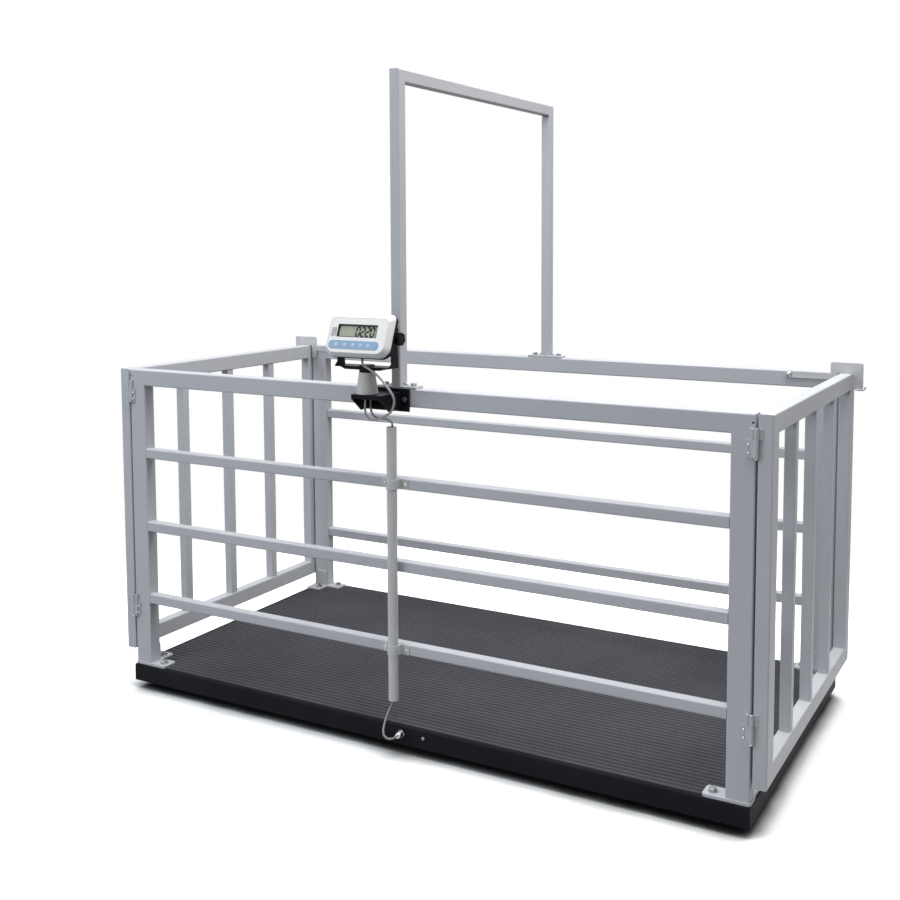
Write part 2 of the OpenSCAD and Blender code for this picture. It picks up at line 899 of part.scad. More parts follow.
module right_gate_top_rail() {
    color("#a8abb0") crate() gate_rail();
}

module right_gate_bottom_rail() {
    color("#a8abb0") crate() gate_bottom_rail();
}

module right_gate_bars() {
    color("#a8abb0") crate() gate_bars();
}

// Hinges, drawn for the right end

module hinge_heights() {
    for (z = [panel_top - hinge_top_drop - hinge_h, gate_bottom + hinge_low_rise])
        translate([0, 0, z]) children();
}

module leaf_bolt_places() {
    for (share = leaf_bolt_shares)
        forward([panel_x - leaf_bolt_inset, -panel_y - leaf_t, share * hinge_h]) children();
}

module hinge_post_leaf() {
    low_h = hinge_h - gate_knuckle_h - free_gap;
    leaf_x = panel_x - leaf_w;
    block_x = panel_x - leaf_block_w;
    difference() {
        union() {
            translate([leaf_x, -panel_y - leaf_t, 0])
                cube([leaf_w - leaf_block_w / 2, leaf_t, leaf_h_share * hinge_h]);
            translate([block_x, -panel_y - leaf_block_t, 0])
                cube([hinge_x - knuckle_r - 2 * free_gap - block_x, leaf_block_t, hinge_h]);
            translate([block_x, -panel_y - leaf_block_t, 0])
                cube([hinge_x - block_x, leaf_block_t, low_h]);
            translate([hinge_x, hinge_y, 0]) cylinder(r = knuckle_r, h = low_h);
        }
        translate([hinge_x, hinge_y, -over]) cylinder(r = pin_r + run_fit, h = hinge_h + 2 * over);
        leaf_bolt_places() bolt_hole(leaf_bolt_d, leaf_t + over);
    }
}

module hinge_post_leaves() {
    color("#b4b7bb") crate() both_ends() hinge_heights() hinge_post_leaf();
}

module hinge_leaf_bolts() {
    color("#c8cacd") crate() both_ends() hinge_heights() leaf_bolt_places()
        button_screw(leaf_bolt_d, leaf_bolt_head_d, leaf_bolt_head_h, leaf_t + tube_t + nut_h);
}

module hinge_pins() {
    color("#c8cacd") crate() both_ends() hinge_heights() translate([hinge_x, hinge_y, 0]) {
        cylinder(r = pin_r, h = hinge_h + free_gap + over);
        translate([0, 0, hinge_h + free_gap]) cylinder(r = pin_head_r, h = pin_head_h);
        translate([0, 0, -pin_head_h]) cylinder(r = pin_head_r, h = pin_head_h);
    }
}

module gate_knuckles() {
    hinge_heights() translate([0, 0, hinge_h - gate_knuckle_h]) difference() {
        union() {
            translate([hinge_x, hinge_y, 0]) cylinder(r = knuckle_r, h = gate_knuckle_h);
            translate([hinge_x, -panel_y - leaf_t, 0]) cube([gate_tab_w, leaf_t, gate_knuckle_h]);
        }
        translate([hinge_x, hinge_y, -over])
            cylinder(r = pin_r + run_fit, h = gate_knuckle_h + 2 * over);
    }
}

module left_gate_knuckles() {
    color("#b4b7bb") crate() left() gate_knuckles();
}

module right_gate_knuckles() {
    color("#b4b7bb") crate() gate_knuckles();
}

// Latches, drawn for the right end

// Pivot of a latch on the inner face of the back rail, along -Y
module latch_pivot() {
    forward([latch_x, latch_y, latch_z]) children();
}

module latch_outline() {
    notch_x0 = gate_x - notch_in_gap;
    notch_x1 = gate_x + gate_t + notch_out_gap;
    hook_x0 = notch_x0 - hook_in_w;
    hook_x1 = notch_x1 + hook_out_w;
    hook_z0 = panel_top - hook_drop;
    difference() {
        union() {
            translate([latch_x, latch_z]) circle(d = latch_bar_h);
            translate([latch_x, latch_z - latch_bar_h / 2])
                square([hook_x0 + hook_r - latch_x, latch_bar_h]);
            translate([hook_x0, hook_z0])
                round_rect(hook_x1 - hook_x0, hook_drop + hook_rise, hook_r);
        }
        translate([notch_x0, hook_z0 - over])
            square([notch_x1 - notch_x0, hook_drop + notch_top_gap + over]);
        translate([latch_x, latch_z]) circle(r = latch_pin_r + run_fit);
    }
}

// Finger lip welded under the outer leg, turned up at its end
module latch_lip() {
    hook_x1 = gate_x + gate_t + notch_out_gap + hook_out_w;
    lip_x = hook_x1 + lip_r - lip_l;
    translate([lip_x, -lip_t]) square([lip_l - lip_r, lip_t]);
    translate([hook_x1, lip_r - lip_t]) {
        intersection() {
            difference() {
                circle(r = lip_r);
                circle(r = lip_r - lip_t);
            }
            translate([0, -lip_r]) square(lip_r);
        }
        translate([lip_r - lip_t, 0]) square([lip_t, lip_up]);
    }
}

module latch() {
    translate([0, latch_y + latch_t, 0]) rotate([90, 0, 0]) linear_extrude(latch_t) latch_outline();
    translate([0, latch_y + latch_t, panel_top - hook_drop + lip_bite]) rotate([90, 0, 0])
        linear_extrude(lip_d) latch_lip();
}

module left_latch() {
    color("#b9bcc0") crate() left() latch();
}

module right_latch() {
    color("#b9bcc0") crate() latch();
}

module latch_pivot_bolts() {
    color("#cfd1d4") crate() both_ends() latch_pivot() translate([0, 0, free_gap])
        button_screw(2 * latch_pin_r, 2 * latch_head_r, latch_head_h,
                     free_gap + latch_t + latch_side_gap + tube_t + nut_h);
}

// Indicator stand

module wall_bolt_places() {
    for (x = [wall_x0 + wall_bolt_left, wall_x1 - wall_bolt_right])
        forward([x, -panel_y - wall_t, panel_top - wall_bolt_drop]) children();
}

// Side web of the shelf: deep at the wall, with a slanting front edge up to the lip
module shelf_web() {
    rotate([90, 0, 90]) linear_extrude(bracket_t)
        polygon([[0, 0], [-shelf_d, 0], [-shelf_d, -shelf_lip_h], [web_toe - shelf_d, -web_h], [0, -web_h]]);
}

module indicator_bracket() {
    shelf_w = shelf_x1 - shelf_x0;
    color("#1d1d20") crate() difference() {
        union() {
            translate([wall_x0, -panel_y - wall_t, panel_top - wall_h])
                cube([wall_x1 - wall_x0, wall_t, wall_h]);
            translate([shelf_x0, -panel_y - shelf_d, shelf_top - bracket_t])
                cube([shelf_w, shelf_d, bracket_t]);
            translate([shelf_x0, -panel_y - shelf_d, shelf_top - shelf_lip_h])
                cube([shelf_w, bracket_t, shelf_lip_h]);
            for (x = [shelf_x0, shelf_x1 - bracket_t]) translate([x, -panel_y, shelf_top]) shelf_web();
        }
        translate([ind_x, ind_y, shelf_top - bracket_t - over])
            cylinder(d = shelf_hole_d, h = bracket_t + 2 * over);
        wall_bolt_places() bolt_hole(wall_bolt_d, wall_t + over);
    }
}

module bracket_bolts() {
    color("#c4c7ca") crate() wall_bolt_places()
        hex_bolt(wall_bolt_d, wall_bolt_head_d, wall_bolt_head_h, wall_t + tube_t + nut_h);
}

module neck() {
    color("#c3c6c9") crate() translate([ind_x, ind_y, shelf_top]) rotate_extrude()
        polygon([[neck_r0 - neck_t, 0], [neck_r0, 0], [neck_r1, neck_h], [neck_r1 - neck_t, neck_h]]);
}

// Upright arm of the yoke, seen along X: round about the tilt axis, straight in front so the shell
// clears it, and wide at its foot
module arm_outline() {
    circle(r = arm_r);
    polygon([[-arm_r, 0], [-arm_r, -arm_knee], [-yoke_front, -yoke_drop],
             [-yoke_front, -yoke_drop - yoke_t], [yoke_back, -yoke_drop - yoke_t],
             [yoke_back, -yoke_drop], [arm_r, 0]]);
}

// Pressed rib under the base of the yoke, with slanting ends
module yoke_rib() {
    half = yoke_rib_w / 2;
    translate([0, yoke_back, -yoke_drop - yoke_t]) rotate([90, 0, 0])
        linear_extrude(yoke_front + yoke_back)
            polygon([[-half, 0], [yoke_rib_slant - half, -yoke_rib_h],
                     [half - yoke_rib_slant, -yoke_rib_h], [half, 0]]);
}

module yoke() {
    arm_x = rear_w / 2 + free_gap;
    collar_z = shelf_top + neck_h;
    color("#1d1d20") crate() translate([ind_x, ind_y, ind_z]) {
        both_ends() difference() {
            translate([arm_x, 0, 0]) rotate([90, 0, 90]) linear_extrude(yoke_t) arm_outline();
            translate([arm_x - over, 0, 0]) rotate([0, 90, 0])
                cylinder(r = knob_stud_r + bolt_fit, h = yoke_t + 2 * over);
        }
        translate([-arm_x - yoke_t, -yoke_front, -yoke_drop - yoke_t])
            cube([2 * (arm_x + yoke_t), yoke_front + yoke_back, yoke_t]);
        yoke_rib();
        translate([0, 0, collar_z - ind_z])
            cylinder(r = collar_r, h = ind_z - yoke_drop + collar_up - collar_z);
    }
}

// Indicator

// Outline about its middle with small round corners above and large ones below
module chin_plate(w, h, r, chin_r) {
    for (side = [-1, 1]) {
        translate([side * (w / 2 - r), h / 2 - r]) circle(r = r);
        translate([side * (w / 2 - chin_r), chin_r - h / 2]) circle(r = chin_r);
    }
    translate([-w / 2, chin_r - h / 2]) square([w, h - chin_r - r]);
    translate([r - w / 2, h / 2 - r]) square([w - 2 * r, r]);
    translate([chin_r - w / 2, -h / 2]) square([w - 2 * chin_r, chin_r]);
}

module rim_slab(inset, z0, z1) {
    translate([0, -shell_drop, z0]) linear_extrude(z1 - z0)
        chin_plate(ind_w - 2 * inset, ind_h - 2 * inset, rim_r - inset, rim_chin_r - inset, $fn = 32);
}

module face_slab(inset, z0, z1) {
    translate([0, -face_drop, z0]) linear_extrude(z1 - z0)
        chin_plate(face_w - 2 * inset, face_h - 2 * inset, face_r - inset, face_chin_r - inset, $fn = 32);
}

// Pillow form of the front shell: an upright rim, then a bevel up to the flat face
module shell_form(inset, z0, z1) {
    hull() {
        rim_slab(inset, z0, face_d - bevel_d);
        face_slab(inset, z0, z1);
    }
}

module board_corners() {
    for (x = [-1, 1], y = [-1, 1])
        translate([x * (board_w / 2 - 2 * board_post_r), y * (board_h / 2 - 2 * board_post_r) - face_drop, 0])
            children();
}

module indicator_front_shell() {
    color("#f0f1f2") crate() face_frame() {
        difference() {
            shell_form(0, seam_d, face_d);
            shell_form(shell_t, seam_d - over, face_d - shell_t);
            translate([lcd_shift, lcd_rise, face_d - shell_t - over])
                linear_extrude(shell_t + 2 * over)
                    square([lcd_w + 2 * free_gap, lcd_h + 2 * free_gap], center = true);
            translate([keypad_shift, -keypad_drop, face_d - keypad_sink])
                linear_extrude(keypad_sink + over) pill(keypad_w + 2 * free_gap, keypad_h + 2 * free_gap);
        }
        board_corners() translate([0, 0, board_d + board_t])
            cylinder(r = board_post_r, h = face_d - shell_t - board_d - board_t + shell_t / 2);
    }
}

module pill(w, h) {
    square([w - h, h], center = true);
    for (side = [-1, 1]) translate([side * (w - h) / 2, 0]) circle(d = h);
}

module rear_outline(inset) {
    translate([0, -shell_drop]) round_plate(rear_w - 2 * inset, rear_h - 2 * inset, rear_r - inset);
}

// Rear shell from the side: its top and bottom edges are cut off at the back
module rear_profile(inset) {
    half = rear_h / 2 - inset;
    cut = rear_chamfer - inset / 2;
    translate([0, -shell_drop]) polygon([
        [inset - rear_d, cut - half], [inset - rear_d + cut, -half], [seam_d + over, -half],
        [seam_d + over, half], [inset - rear_d + cut, half], [inset - rear_d, half - cut]]);
}

module rear_form(inset, top) {
    intersection() {
        translate([0, 0, -rear_d - over]) linear_extrude(rear_d + over + top) rear_outline(inset);
        translate([-rear_w / 2 - over, 0, 0]) rotate([90, 0, 90]) rotate([0, 0, 90]) mirror([0, 1, 0])
            linear_extrude(rear_w + 2 * over) rear_profile(inset);
    }
}

module indicator_rear_shell() {
    color("#1b1b1e") crate() face_frame() {
        difference() {
            union() {
                rear_form(0, seam_d);
                translate([0, -shell_drop, seam_d - flange_t]) linear_extrude(flange_t)
                    chin_plate(ind_w - 2 * flange_inset, ind_h - 2 * flange_inset,
                               rim_r - flange_inset, rim_chin_r - flange_inset);
            }
            difference() {
                rear_form(shell_t, seam_d + over);
                both_ends() translate([rear_w / 2 - shell_t - boss_l, 0, 0]) rotate([0, 90, 0])
                    cylinder(r = boss_r, h = boss_l + shell_t);
            }
            both_ends() translate([rear_w / 2 - boss_l, 0, 0]) rotate([0, 90, 0])
                cylinder(r = knob_stud_r + run_fit, h = boss_l + over);
            both_ends() translate([rear_w / 2, 0, 0]) rotate([0, 90, 0])
                cylinder(r = knob_r + free_gap, h = ind_w / 2);
            translate([0, -shell_drop - rear_h / 2 - over, 0]) rotate([-90, 0, 0])
                cylinder(d = cable_d + 2 * cable_fit, h = shell_t + 2 * over);
        }
    }
}

module display_window() {
    color("#8f9a86") crate() face_frame()
        translate([lcd_shift - lcd_w / 2, lcd_rise - lcd_h / 2, face_d - lcd_recess - lcd_t])
            cube([lcd_w, lcd_h, lcd_t]);
}

module keypad() {
    color("#b9d3e6") crate() face_frame() translate([keypad_shift, -keypad_drop, face_d - keypad_sink])
        linear_extrude(keypad_sink + keypad_proud) pill(keypad_w, keypad_h);
}

module circuit_board() {
    color("#2f6b45") crate() face_frame() translate([0, -face_drop, board_d])
        linear_extrude(board_t) round_plate(board_w, board_h, board_post_r);
}

module tilt_knob() {
    seat = rear_w / 2 + free_gap + yoke_t + free_gap;
    rotate([0, 90, 0]) {
        translate([0, 0, seat]) cylinder(r = knob_neck_r, h = knob_neck_l + over);
        translate([0, 0, seat + knob_neck_l]) linear_extrude(knob_l) {
            circle(r = knob_hub_share * knob_r);
            for (i = [1 : knob_lobe_n]) rotate(i * 360 / knob_lobe_n)
                translate([knob_r - knob_lobe_share * knob_r, 0]) circle(r = knob_lobe_share * knob_r);
        }
        translate([0, 0, rear_w / 2 - boss_l + free_gap])
            cylinder(r = knob_stud_r, h = seat - rear_w / 2 + boss_l - free_gap + over);
    }
}

module tilt_knob_left() {
    color("#161618") crate() face_frame() left() tilt_knob();
}

module tilt_knob_right() {
    color("#161618") crate() face_frame() tilt_knob();
}

module indicator_gland() {
    bore = cable_d / 2 + cable_fit;
    color("#1b1b1e") crate() face_frame() translate([0, -shell_drop - rear_h / 2, 0]) rotate([90, 0, 0])
        rotate_extrude() polygon([[bore, 0], [ind_gland_r0, 0], [ind_gland_r1, ind_gland_l],
                                  [bore, ind_gland_l]]);
}

// Cable run

module conduit() {
    z0 = deck_top + conduit_rise;
    h = panel_top - conduit_drop - z0;
    color("#c0c3c6") crate() translate([conduit_x, conduit_y, z0]) difference() {
        cylinder(d = conduit_d, h = h);
        translate([0, 0, -over]) cylinder(d = conduit_d - 2 * conduit_t, h = h + 2 * over);
    }
}

// Heights of the clips: the middle of the first and of the last middle rail
module clip_heights() {
    for (i = [0, rail_n - 1])
        translate([conduit_x, -panel_y, panel_top - rail_drop - i * rail_pitch - mid_rail_h / 2]) children();
}

module conduit_clips() {
    bore = conduit_d / 2 + clip_fit;
    span = conduit_d + 2 * clip_t + 2 * clip_ear;
    color("#b6b9bd") crate() difference() {
        clip_heights() translate([0, 0, -clip_h / 2]) difference() {
            union() {
                translate([-span / 2, -clip_t, 0]) cube([span, clip_t, clip_h]);
                translate([-bore - clip_t, conduit_y + panel_y, 0])
                    cube([2 * (bore + clip_t), -conduit_y - panel_y, clip_h]);
                translate([0, conduit_y + panel_y, 0]) cylinder(r = bore + clip_t, h = clip_h);
            }
            translate([0, conduit_y + panel_y, -over]) cylinder(r = bore, h = clip_h + 2 * over);
        }
        clip_screw_places() bolt_hole(clip_screw_d, clip_t + over);
    }
}

module clip_screw_places() {
    for (side = [-1, 1]) clip_heights()
        forward([side * (conduit_d / 2 + clip_t + clip_screw_share * clip_ear), -clip_t, 0]) children();
}

module clip_screws() {
    color("#d6d8da") crate() clip_screw_places()
        button_screw(clip_screw_d, clip_screw_head_d, clip_screw_head_h, clip_t + tube_t + nut_h);
}

// Cable sweep: a smooth curve through the route's points, with a frame carried along it

function route_point(i) = cable_route[max(0, min(cable_last, i))];

function unit(v) = v / norm(v);

// Pull of the curve at a point: along its two chords, as long as the shorter one
function route_pull(i) =
    let (ahead = route_point(i + 1) - route_point(i), behind = route_point(i) - route_point(i - 1))
    i == 0 ? ahead : i == cable_last ? behind
    : unit(unit(ahead) + unit(behind)) * min(norm(ahead), norm(behind));

function route_curve(i, t) =
    let (s = 1 - t)
    route_point(i) * s * s * (1 + 2 * t) + route_pull(i) * t * s * s
    + route_point(i + 1) * t * t * (3 - 2 * t) - route_pull(i + 1) * t * t * s;

function carried(points, i, before) =
    let (ahead = unit(points[min(i + 1, len(points) - 1)] - points[max(i - 1, 0)]),
         side = unit(before - (before * ahead) * ahead))
    i == len(points) - 1 ? [[side, cross(ahead, side)]]
                         : concat([[side, cross(ahead, side)]], carried(points, i + 1, side));

module signal_cable() {
    points = concat(
        [for (i = [0 : cable_last - 1], step = [0 : cable_steps - 1]) route_curve(i, step / cable_steps)],
        [cable_route[cable_last]]);
    frames = carried(points, 0, [1, 0, 0]);
    rings = len(points);
    verts = [for (i = [0 : rings - 1], k = [0 : cable_sides - 1])
        let (a = 360 * k / cable_sides)
        points[i] + cable_d / 2 * (cos(a) * frames[i][0] + sin(a) * frames[i][1])];
    sides = [for (i = [0 : rings - 2], k = [0 : cable_sides - 1])
        let (next = (k + 1) % cable_sides, a = i * cable_sides, b = a + cable_sides)
        each [[a + k, b + k, b + next], [a + k, b + next, a + next]]];
    start = [for (k = [0 : cable_sides - 1]) k];
    finish = [for (k = [cable_sides - 1 : -1 : 0]) (rings - 1) * cable_sides + k];
    color("#3b3d40") crate() polyhedron(verts, concat(sides, [start, finish]));
}

deck_tray();
deck_mat();
under_frame();
load_cells();
load_cell_bolts();
foot_studs();
foot_pads();
junction_box();
junction_box_lid();
skirt_gland();
skirt_screw();
front_left_post();
front_right_post();
front_top_rail();
front_mid_rails();
back_left_post();
back_right_post();
back_top_rail();
back_mid_rails();
post_foot_plates();
deck_bolts();
arch_front_post();
arch_back_post();
arch_beam();
arch_foot_plates();
arch_bolts();
left_gate_hinge_stile();
left_gate_latch_stile();
left_gate_top_rail();
left_gate_bottom_rail();
left_gate_bars();
right_gate_hinge_stile();
right_gate_latch_stile();
right_gate_top_rail();
right_gate_bottom_rail();
right_gate_bars();
hinge_post_leaves();
hinge_leaf_bolts();
hinge_pins();
left_gate_knuckles();
right_gate_knuckles();
left_latch();
right_latch();
latch_pivot_bolts();
indicator_bracket();
bracket_bolts();
neck();
yoke();
indicator_front_shell();
indicator_rear_shell();
display_window();
keypad();
circuit_board();
tilt_knob_left();
tilt_knob_right();
indicator_gland();
conduit();
conduit_clips();
clip_screws();
signal_cable();
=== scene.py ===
# %% [markdown]
# Livestock weighing crate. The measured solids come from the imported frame, and this lesson dresses
# them: it sets the camera, lays the signal cable, models the moulded and turned pieces by hand,
# and gives every surface a finish made of nodes. All places are in metres, in the frame's own axes.

# %% Load the frame
import json
import math

import bpy
from mathutils import Matrix, Vector

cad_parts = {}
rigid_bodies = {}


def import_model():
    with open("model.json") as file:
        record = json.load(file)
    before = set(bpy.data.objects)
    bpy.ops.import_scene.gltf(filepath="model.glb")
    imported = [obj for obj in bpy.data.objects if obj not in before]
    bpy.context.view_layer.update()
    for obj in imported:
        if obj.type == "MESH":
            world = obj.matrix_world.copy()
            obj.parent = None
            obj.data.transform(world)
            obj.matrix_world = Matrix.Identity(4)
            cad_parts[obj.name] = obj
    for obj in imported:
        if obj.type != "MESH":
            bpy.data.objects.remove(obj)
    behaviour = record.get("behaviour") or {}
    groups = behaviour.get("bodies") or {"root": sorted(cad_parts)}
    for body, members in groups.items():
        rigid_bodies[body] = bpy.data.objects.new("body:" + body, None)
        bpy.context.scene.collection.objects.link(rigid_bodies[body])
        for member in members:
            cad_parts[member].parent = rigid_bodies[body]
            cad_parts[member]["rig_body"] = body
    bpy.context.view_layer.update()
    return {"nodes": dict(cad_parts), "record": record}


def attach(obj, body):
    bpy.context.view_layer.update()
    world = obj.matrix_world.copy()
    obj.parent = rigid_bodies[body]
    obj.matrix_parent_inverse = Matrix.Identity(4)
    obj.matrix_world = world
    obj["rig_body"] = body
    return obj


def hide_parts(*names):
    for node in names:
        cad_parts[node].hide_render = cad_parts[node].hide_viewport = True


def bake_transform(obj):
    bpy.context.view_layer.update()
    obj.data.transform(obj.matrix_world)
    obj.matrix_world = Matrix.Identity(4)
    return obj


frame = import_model()
scene = bpy.context.scene
scene.view_settings.view_transform = "Standard"

# %% [markdown]
# The camera stands at the front right corner, a little above the top rail. It could be set by eye,
# but it was fitted to the straight edges of the crate, so that each piece falls where it should. Its
# shift is what the framing of the picture needs and no more.

# %% Camera
camera_data = bpy.data.cameras.new("camera")
camera_data.sensor_width = 36.0
camera_data.lens = 45.02
camera_data.shift_x = -0.0651
camera_data.shift_y = -0.1313
camera = bpy.data.objects.new("camera", camera_data)
camera.location = (1.69027, -2.97703, 1.42345)
camera.rotation_euler = (math.radians(85.438), 0.0, math.radians(27.709))
scene.collection.objects.link(camera)
scene.camera = camera
print("camera lens", camera_data.lens)

# %% [markdown]
# The signal cable leaves the gland under the indicator, hangs in one open bow in front of the
# bracket, turns up into the hollow neck and down again, drops into the conduit and ends in the
# gland of the skirt. A cable could be a Bezier curve, but here it has to lie where the solid lies,
# so the same route points are joined by the same smooth curve and given a round section.

# %% Cable curve
CABLE_D = 0.006
CABLE_STEPS = 8
route = [Vector(p) for p in (
    (-0.046, -0.509, 1.118), (-0.046, -0.511, 1.112), (-0.043, -0.515, 1.102), (-0.035, -0.519, 1.095),
    (-0.020, -0.524, 1.090), (0.012, -0.532, 1.076), (0.047, -0.538, 1.049), (0.070, -0.536, 1.015),
    (0.056, -0.528, 0.980), (0.004, -0.515, 0.954), (-0.018, -0.510, 0.950), (-0.032, -0.507, 0.953),
    (-0.041, -0.505, 0.963), (-0.043, -0.505, 0.977), (-0.041, -0.506, 1.014), (-0.041, -0.506, 1.026),
    (-0.042, -0.501, 1.037), (-0.044, -0.490, 1.042), (-0.046, -0.479, 1.037), (-0.047, -0.474, 1.026),
    (-0.047, -0.474, 1.014), (-0.045, -0.476, 0.986), (-0.040, -0.481, 0.968), (-0.026, -0.484, 0.954),
    (-0.007, -0.479, 0.950), (0.006, -0.465, 0.945), (0.005, -0.448, 0.934), (-0.002, -0.438, 0.917),
    (-0.005, -0.436, 0.898), (-0.005, -0.436, 0.165), (-0.008, -0.440, 0.145), (-0.013, -0.453, 0.123),
    (-0.014, -0.467, 0.101), (-0.012, -0.478, 0.084), (-0.006, -0.483, 0.071), (0.005, -0.480, 0.063),
    (0.013, -0.470, 0.061), (0.016, -0.456, 0.061), (0.016, -0.443, 0.061), (0.016, -0.387, 0.061))]


def pull(i):
    """Direction of the curve at a route point, as long as the shorter of its two chords."""
    if i == 0:
        return route[1] - route[0]
    if i == len(route) - 1:
        return route[i] - route[i - 1]
    ahead, behind = route[i + 1] - route[i], route[i] - route[i - 1]
    return (ahead.normalized() + behind.normalized()).normalized() * min(ahead.length, behind.length)


def on_curve(i, t):
    s = 1.0 - t
    return (route[i] * s * s * (1 + 2 * t) + pull(i) * t * s * s
            + route[i + 1] * t * t * (3 - 2 * t) - pull(i + 1) * t * t * s)


cable_path = [on_curve(i, k / CABLE_STEPS) for i in range(len(route) - 1) for k in range(CABLE_STEPS)]
cable_path.append(route[-1])

# %% [markdown]
# The sheath is a round tube along that path. It could be swept face by face, but a curve with a
# bevel is quicker and keeps its section square to the path. It is made a mesh at once.

# %% Cable tube
bpy.ops.object.select_all(action="DESELECT")
line = bpy.data.curves.new("signal_cable_line", "CURVE")
line.dimensions = "3D"
line.bevel_depth = CABLE_D / 2
line.bevel_resolution = 3
line.use_fill_caps = True
strand = line.splines.new("POLY")
strand.points.add(len(cable_path) - 1)
for point, place in zip(strand.points, cable_path):
    point.co = (*place, 1.0)
cable = bpy.data.objects.new("cable", line)
scene.collection.objects.link(cable)
cable.select_set(True)
bpy.context.view_layer.objects.active = cable
bpy.ops.object.convert(target="MESH")
cable = bpy.context.object
bpy.ops.object.shade_smooth()
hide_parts("signal_cable")
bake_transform(cable)
print("cable faces", len(cable.data.polygons))

# %% [markdown]
# Finishes. Real paint, rubber and plastic are never one flat colour: they drift a little in tone
# over a hand's width, have a fine skin that breaks up the gloss, and lighten where edges rub.
# One could paint textures, but nodes on Object coordinates have no seams and stay sharp. The helper
# builds that common skin, and each finish below only says how strong each effect is.

# %% Helper for finishes


def node(tree, kind, **values):
    """Adds a node; values name its settings, or its inputs with _ for a space."""
    made = tree.nodes.new("ShaderNode" + kind)
    for key, value in values.items():
        if hasattr(made, key):
            setattr(made, key, value)
        else:
            made.inputs[key.replace("_", " ")].default_value = value
    return made


def rgba(colour):
    return (*colour, 1.0)


def finish(name, deep, pale, rough, drift=2.0, grain=400.0, skin=0.1, metal=0.0, worn=None, wear=0.003,
           level=0.5):
    """A finish that drifts from deep to pale, with a grained skin and, given worn, rubbed edges."""
    made = bpy.data.materials.new(name)
    made.use_nodes = True
    tree = made.node_tree
    shader = tree.nodes["Principled BSDF"]
    shader.inputs["Metallic"].default_value = metal
    shader.inputs["Specular IOR Level"].default_value = level
    place = node(tree, "TexCoord")
    cloud = node(tree, "TexNoise", Scale=drift, Detail=4.0, Roughness=0.6)
    fine = node(tree, "TexNoise", Scale=grain, Detail=3.0, Roughness=0.55)
    for texture in (cloud, fine):
        tree.links.new(place.outputs["Object"], texture.inputs["Vector"])
    tone = node(tree, "Mix", data_type="RGBA")
    tone.inputs[6].default_value = rgba(deep)
    tone.inputs[7].default_value = rgba(pale)
    spread = node(tree, "MapRange", From_Min=0.32, From_Max=0.68)
    tree.links.new(cloud.outputs["Fac"], spread.inputs["Value"])
    tree.links.new(spread.outputs["Result"], tone.inputs["Factor"])
    colour = tone.outputs[2]
    if worn is not None:
        rounded = node(tree, "Bevel", samples=4, Radius=wear)
        flat = node(tree, "NewGeometry")
        turn = node(tree, "VectorMath", operation="DOT_PRODUCT")
        tree.links.new(rounded.outputs["Normal"], turn.inputs[0])
        tree.links.new(flat.outputs["Normal"], turn.inputs[1])
        rub = node(tree, "MapRange", From_Min=0.97, From_Max=0.72, To_Max=0.75)
        tree.links.new(turn.outputs["Value"], rub.inputs["Value"])
        patchy = node(tree, "Math", operation="MULTIPLY")
        tree.links.new(rub.outputs["Result"], patchy.inputs[0])
        tree.links.new(spread.outputs["Result"], patchy.inputs[1])
        edge = node(tree, "Mix", data_type="RGBA")
        edge.inputs[7].default_value = rgba(worn)
        tree.links.new(patchy.outputs["Value"], edge.inputs["Factor"])
        tree.links.new(colour, edge.inputs[6])
        colour = edge.outputs[2]
    tree.links.new(colour, shader.inputs["Base Color"])
    gloss = node(tree, "MapRange", From_Min=0.3, From_Max=0.7, To_Min=rough - 0.06, To_Max=rough + 0.08)
    tree.links.new(fine.outputs["Fac"], gloss.inputs["Value"])
    tree.links.new(gloss.outputs["Result"], shader.inputs["Roughness"])
    bump = node(tree, "Bump", Strength=skin, Distance=0.0006)
    tree.links.new(fine.outputs["Fac"], bump.inputs["Height"])
    tree.links.new(bump.outputs["Normal"], shader.inputs["Normal"])
    return made


print("finish helper: tone, rubbed edges, gloss and skin")

# %% [markdown]
# The tubes are powder coated in a silver grey: a satin film with a slight orange peel. The platform
# skirt has the same film in black, and the bracket and yoke a smoother black. The hinges are painted
# with the frame. Bolts and pins are zinc plated, the latches are plated plate, and the cable gland
# in the skirt is nickel plated. Paint and plate could share one recipe, but plate is far shinier, so
# each has its own.

# %% Metal finishes
silver_coat = finish("silver_coat", (0.444, 0.454, 0.484), (0.494, 0.504, 0.532), 0.52,
                     drift=1.6, grain=420.0, skin=0.10, metal=0.05, worn=(0.60, 0.61, 0.63), wear=0.003,
                     level=0.2)
black_coat = finish("black_coat", (0.0105, 0.0105, 0.0130), (0.0165, 0.0165, 0.0200), 0.50,
                    drift=2.5, grain=500.0, skin=0.16, worn=(0.07, 0.07, 0.075), wear=0.004,
                    level=0.03)
bracket_coat = finish("bracket_coat", (0.006, 0.006, 0.008), (0.011, 0.011, 0.014), 0.36,
                      drift=14.0, grain=600.0, skin=0.08, worn=(0.10, 0.10, 0.11), wear=0.0015,
                      level=0.06)
zinc_plate = finish("zinc_plate", (0.31, 0.315, 0.33), (0.45, 0.45, 0.455), 0.22,
                    drift=60.0, grain=900.0, skin=0.05, metal=0.85)
latch_plate = finish("latch_plate", (0.44, 0.45, 0.46), (0.52, 0.52, 0.53), 0.38,
                     drift=30.0, grain=700.0, skin=0.08, metal=0.45, worn=(0.7, 0.7, 0.7), wear=0.0012)
dark_plate = finish("dark_plate", (0.13, 0.132, 0.145), (0.20, 0.20, 0.215), 0.28,
                    drift=60.0, grain=900.0, skin=0.05, metal=0.7)
nickel_plate = finish("nickel_plate", (0.42, 0.41, 0.40), (0.56, 0.55, 0.53), 0.16,
                      drift=50.0, grain=900.0, skin=0.03, metal=1.0)
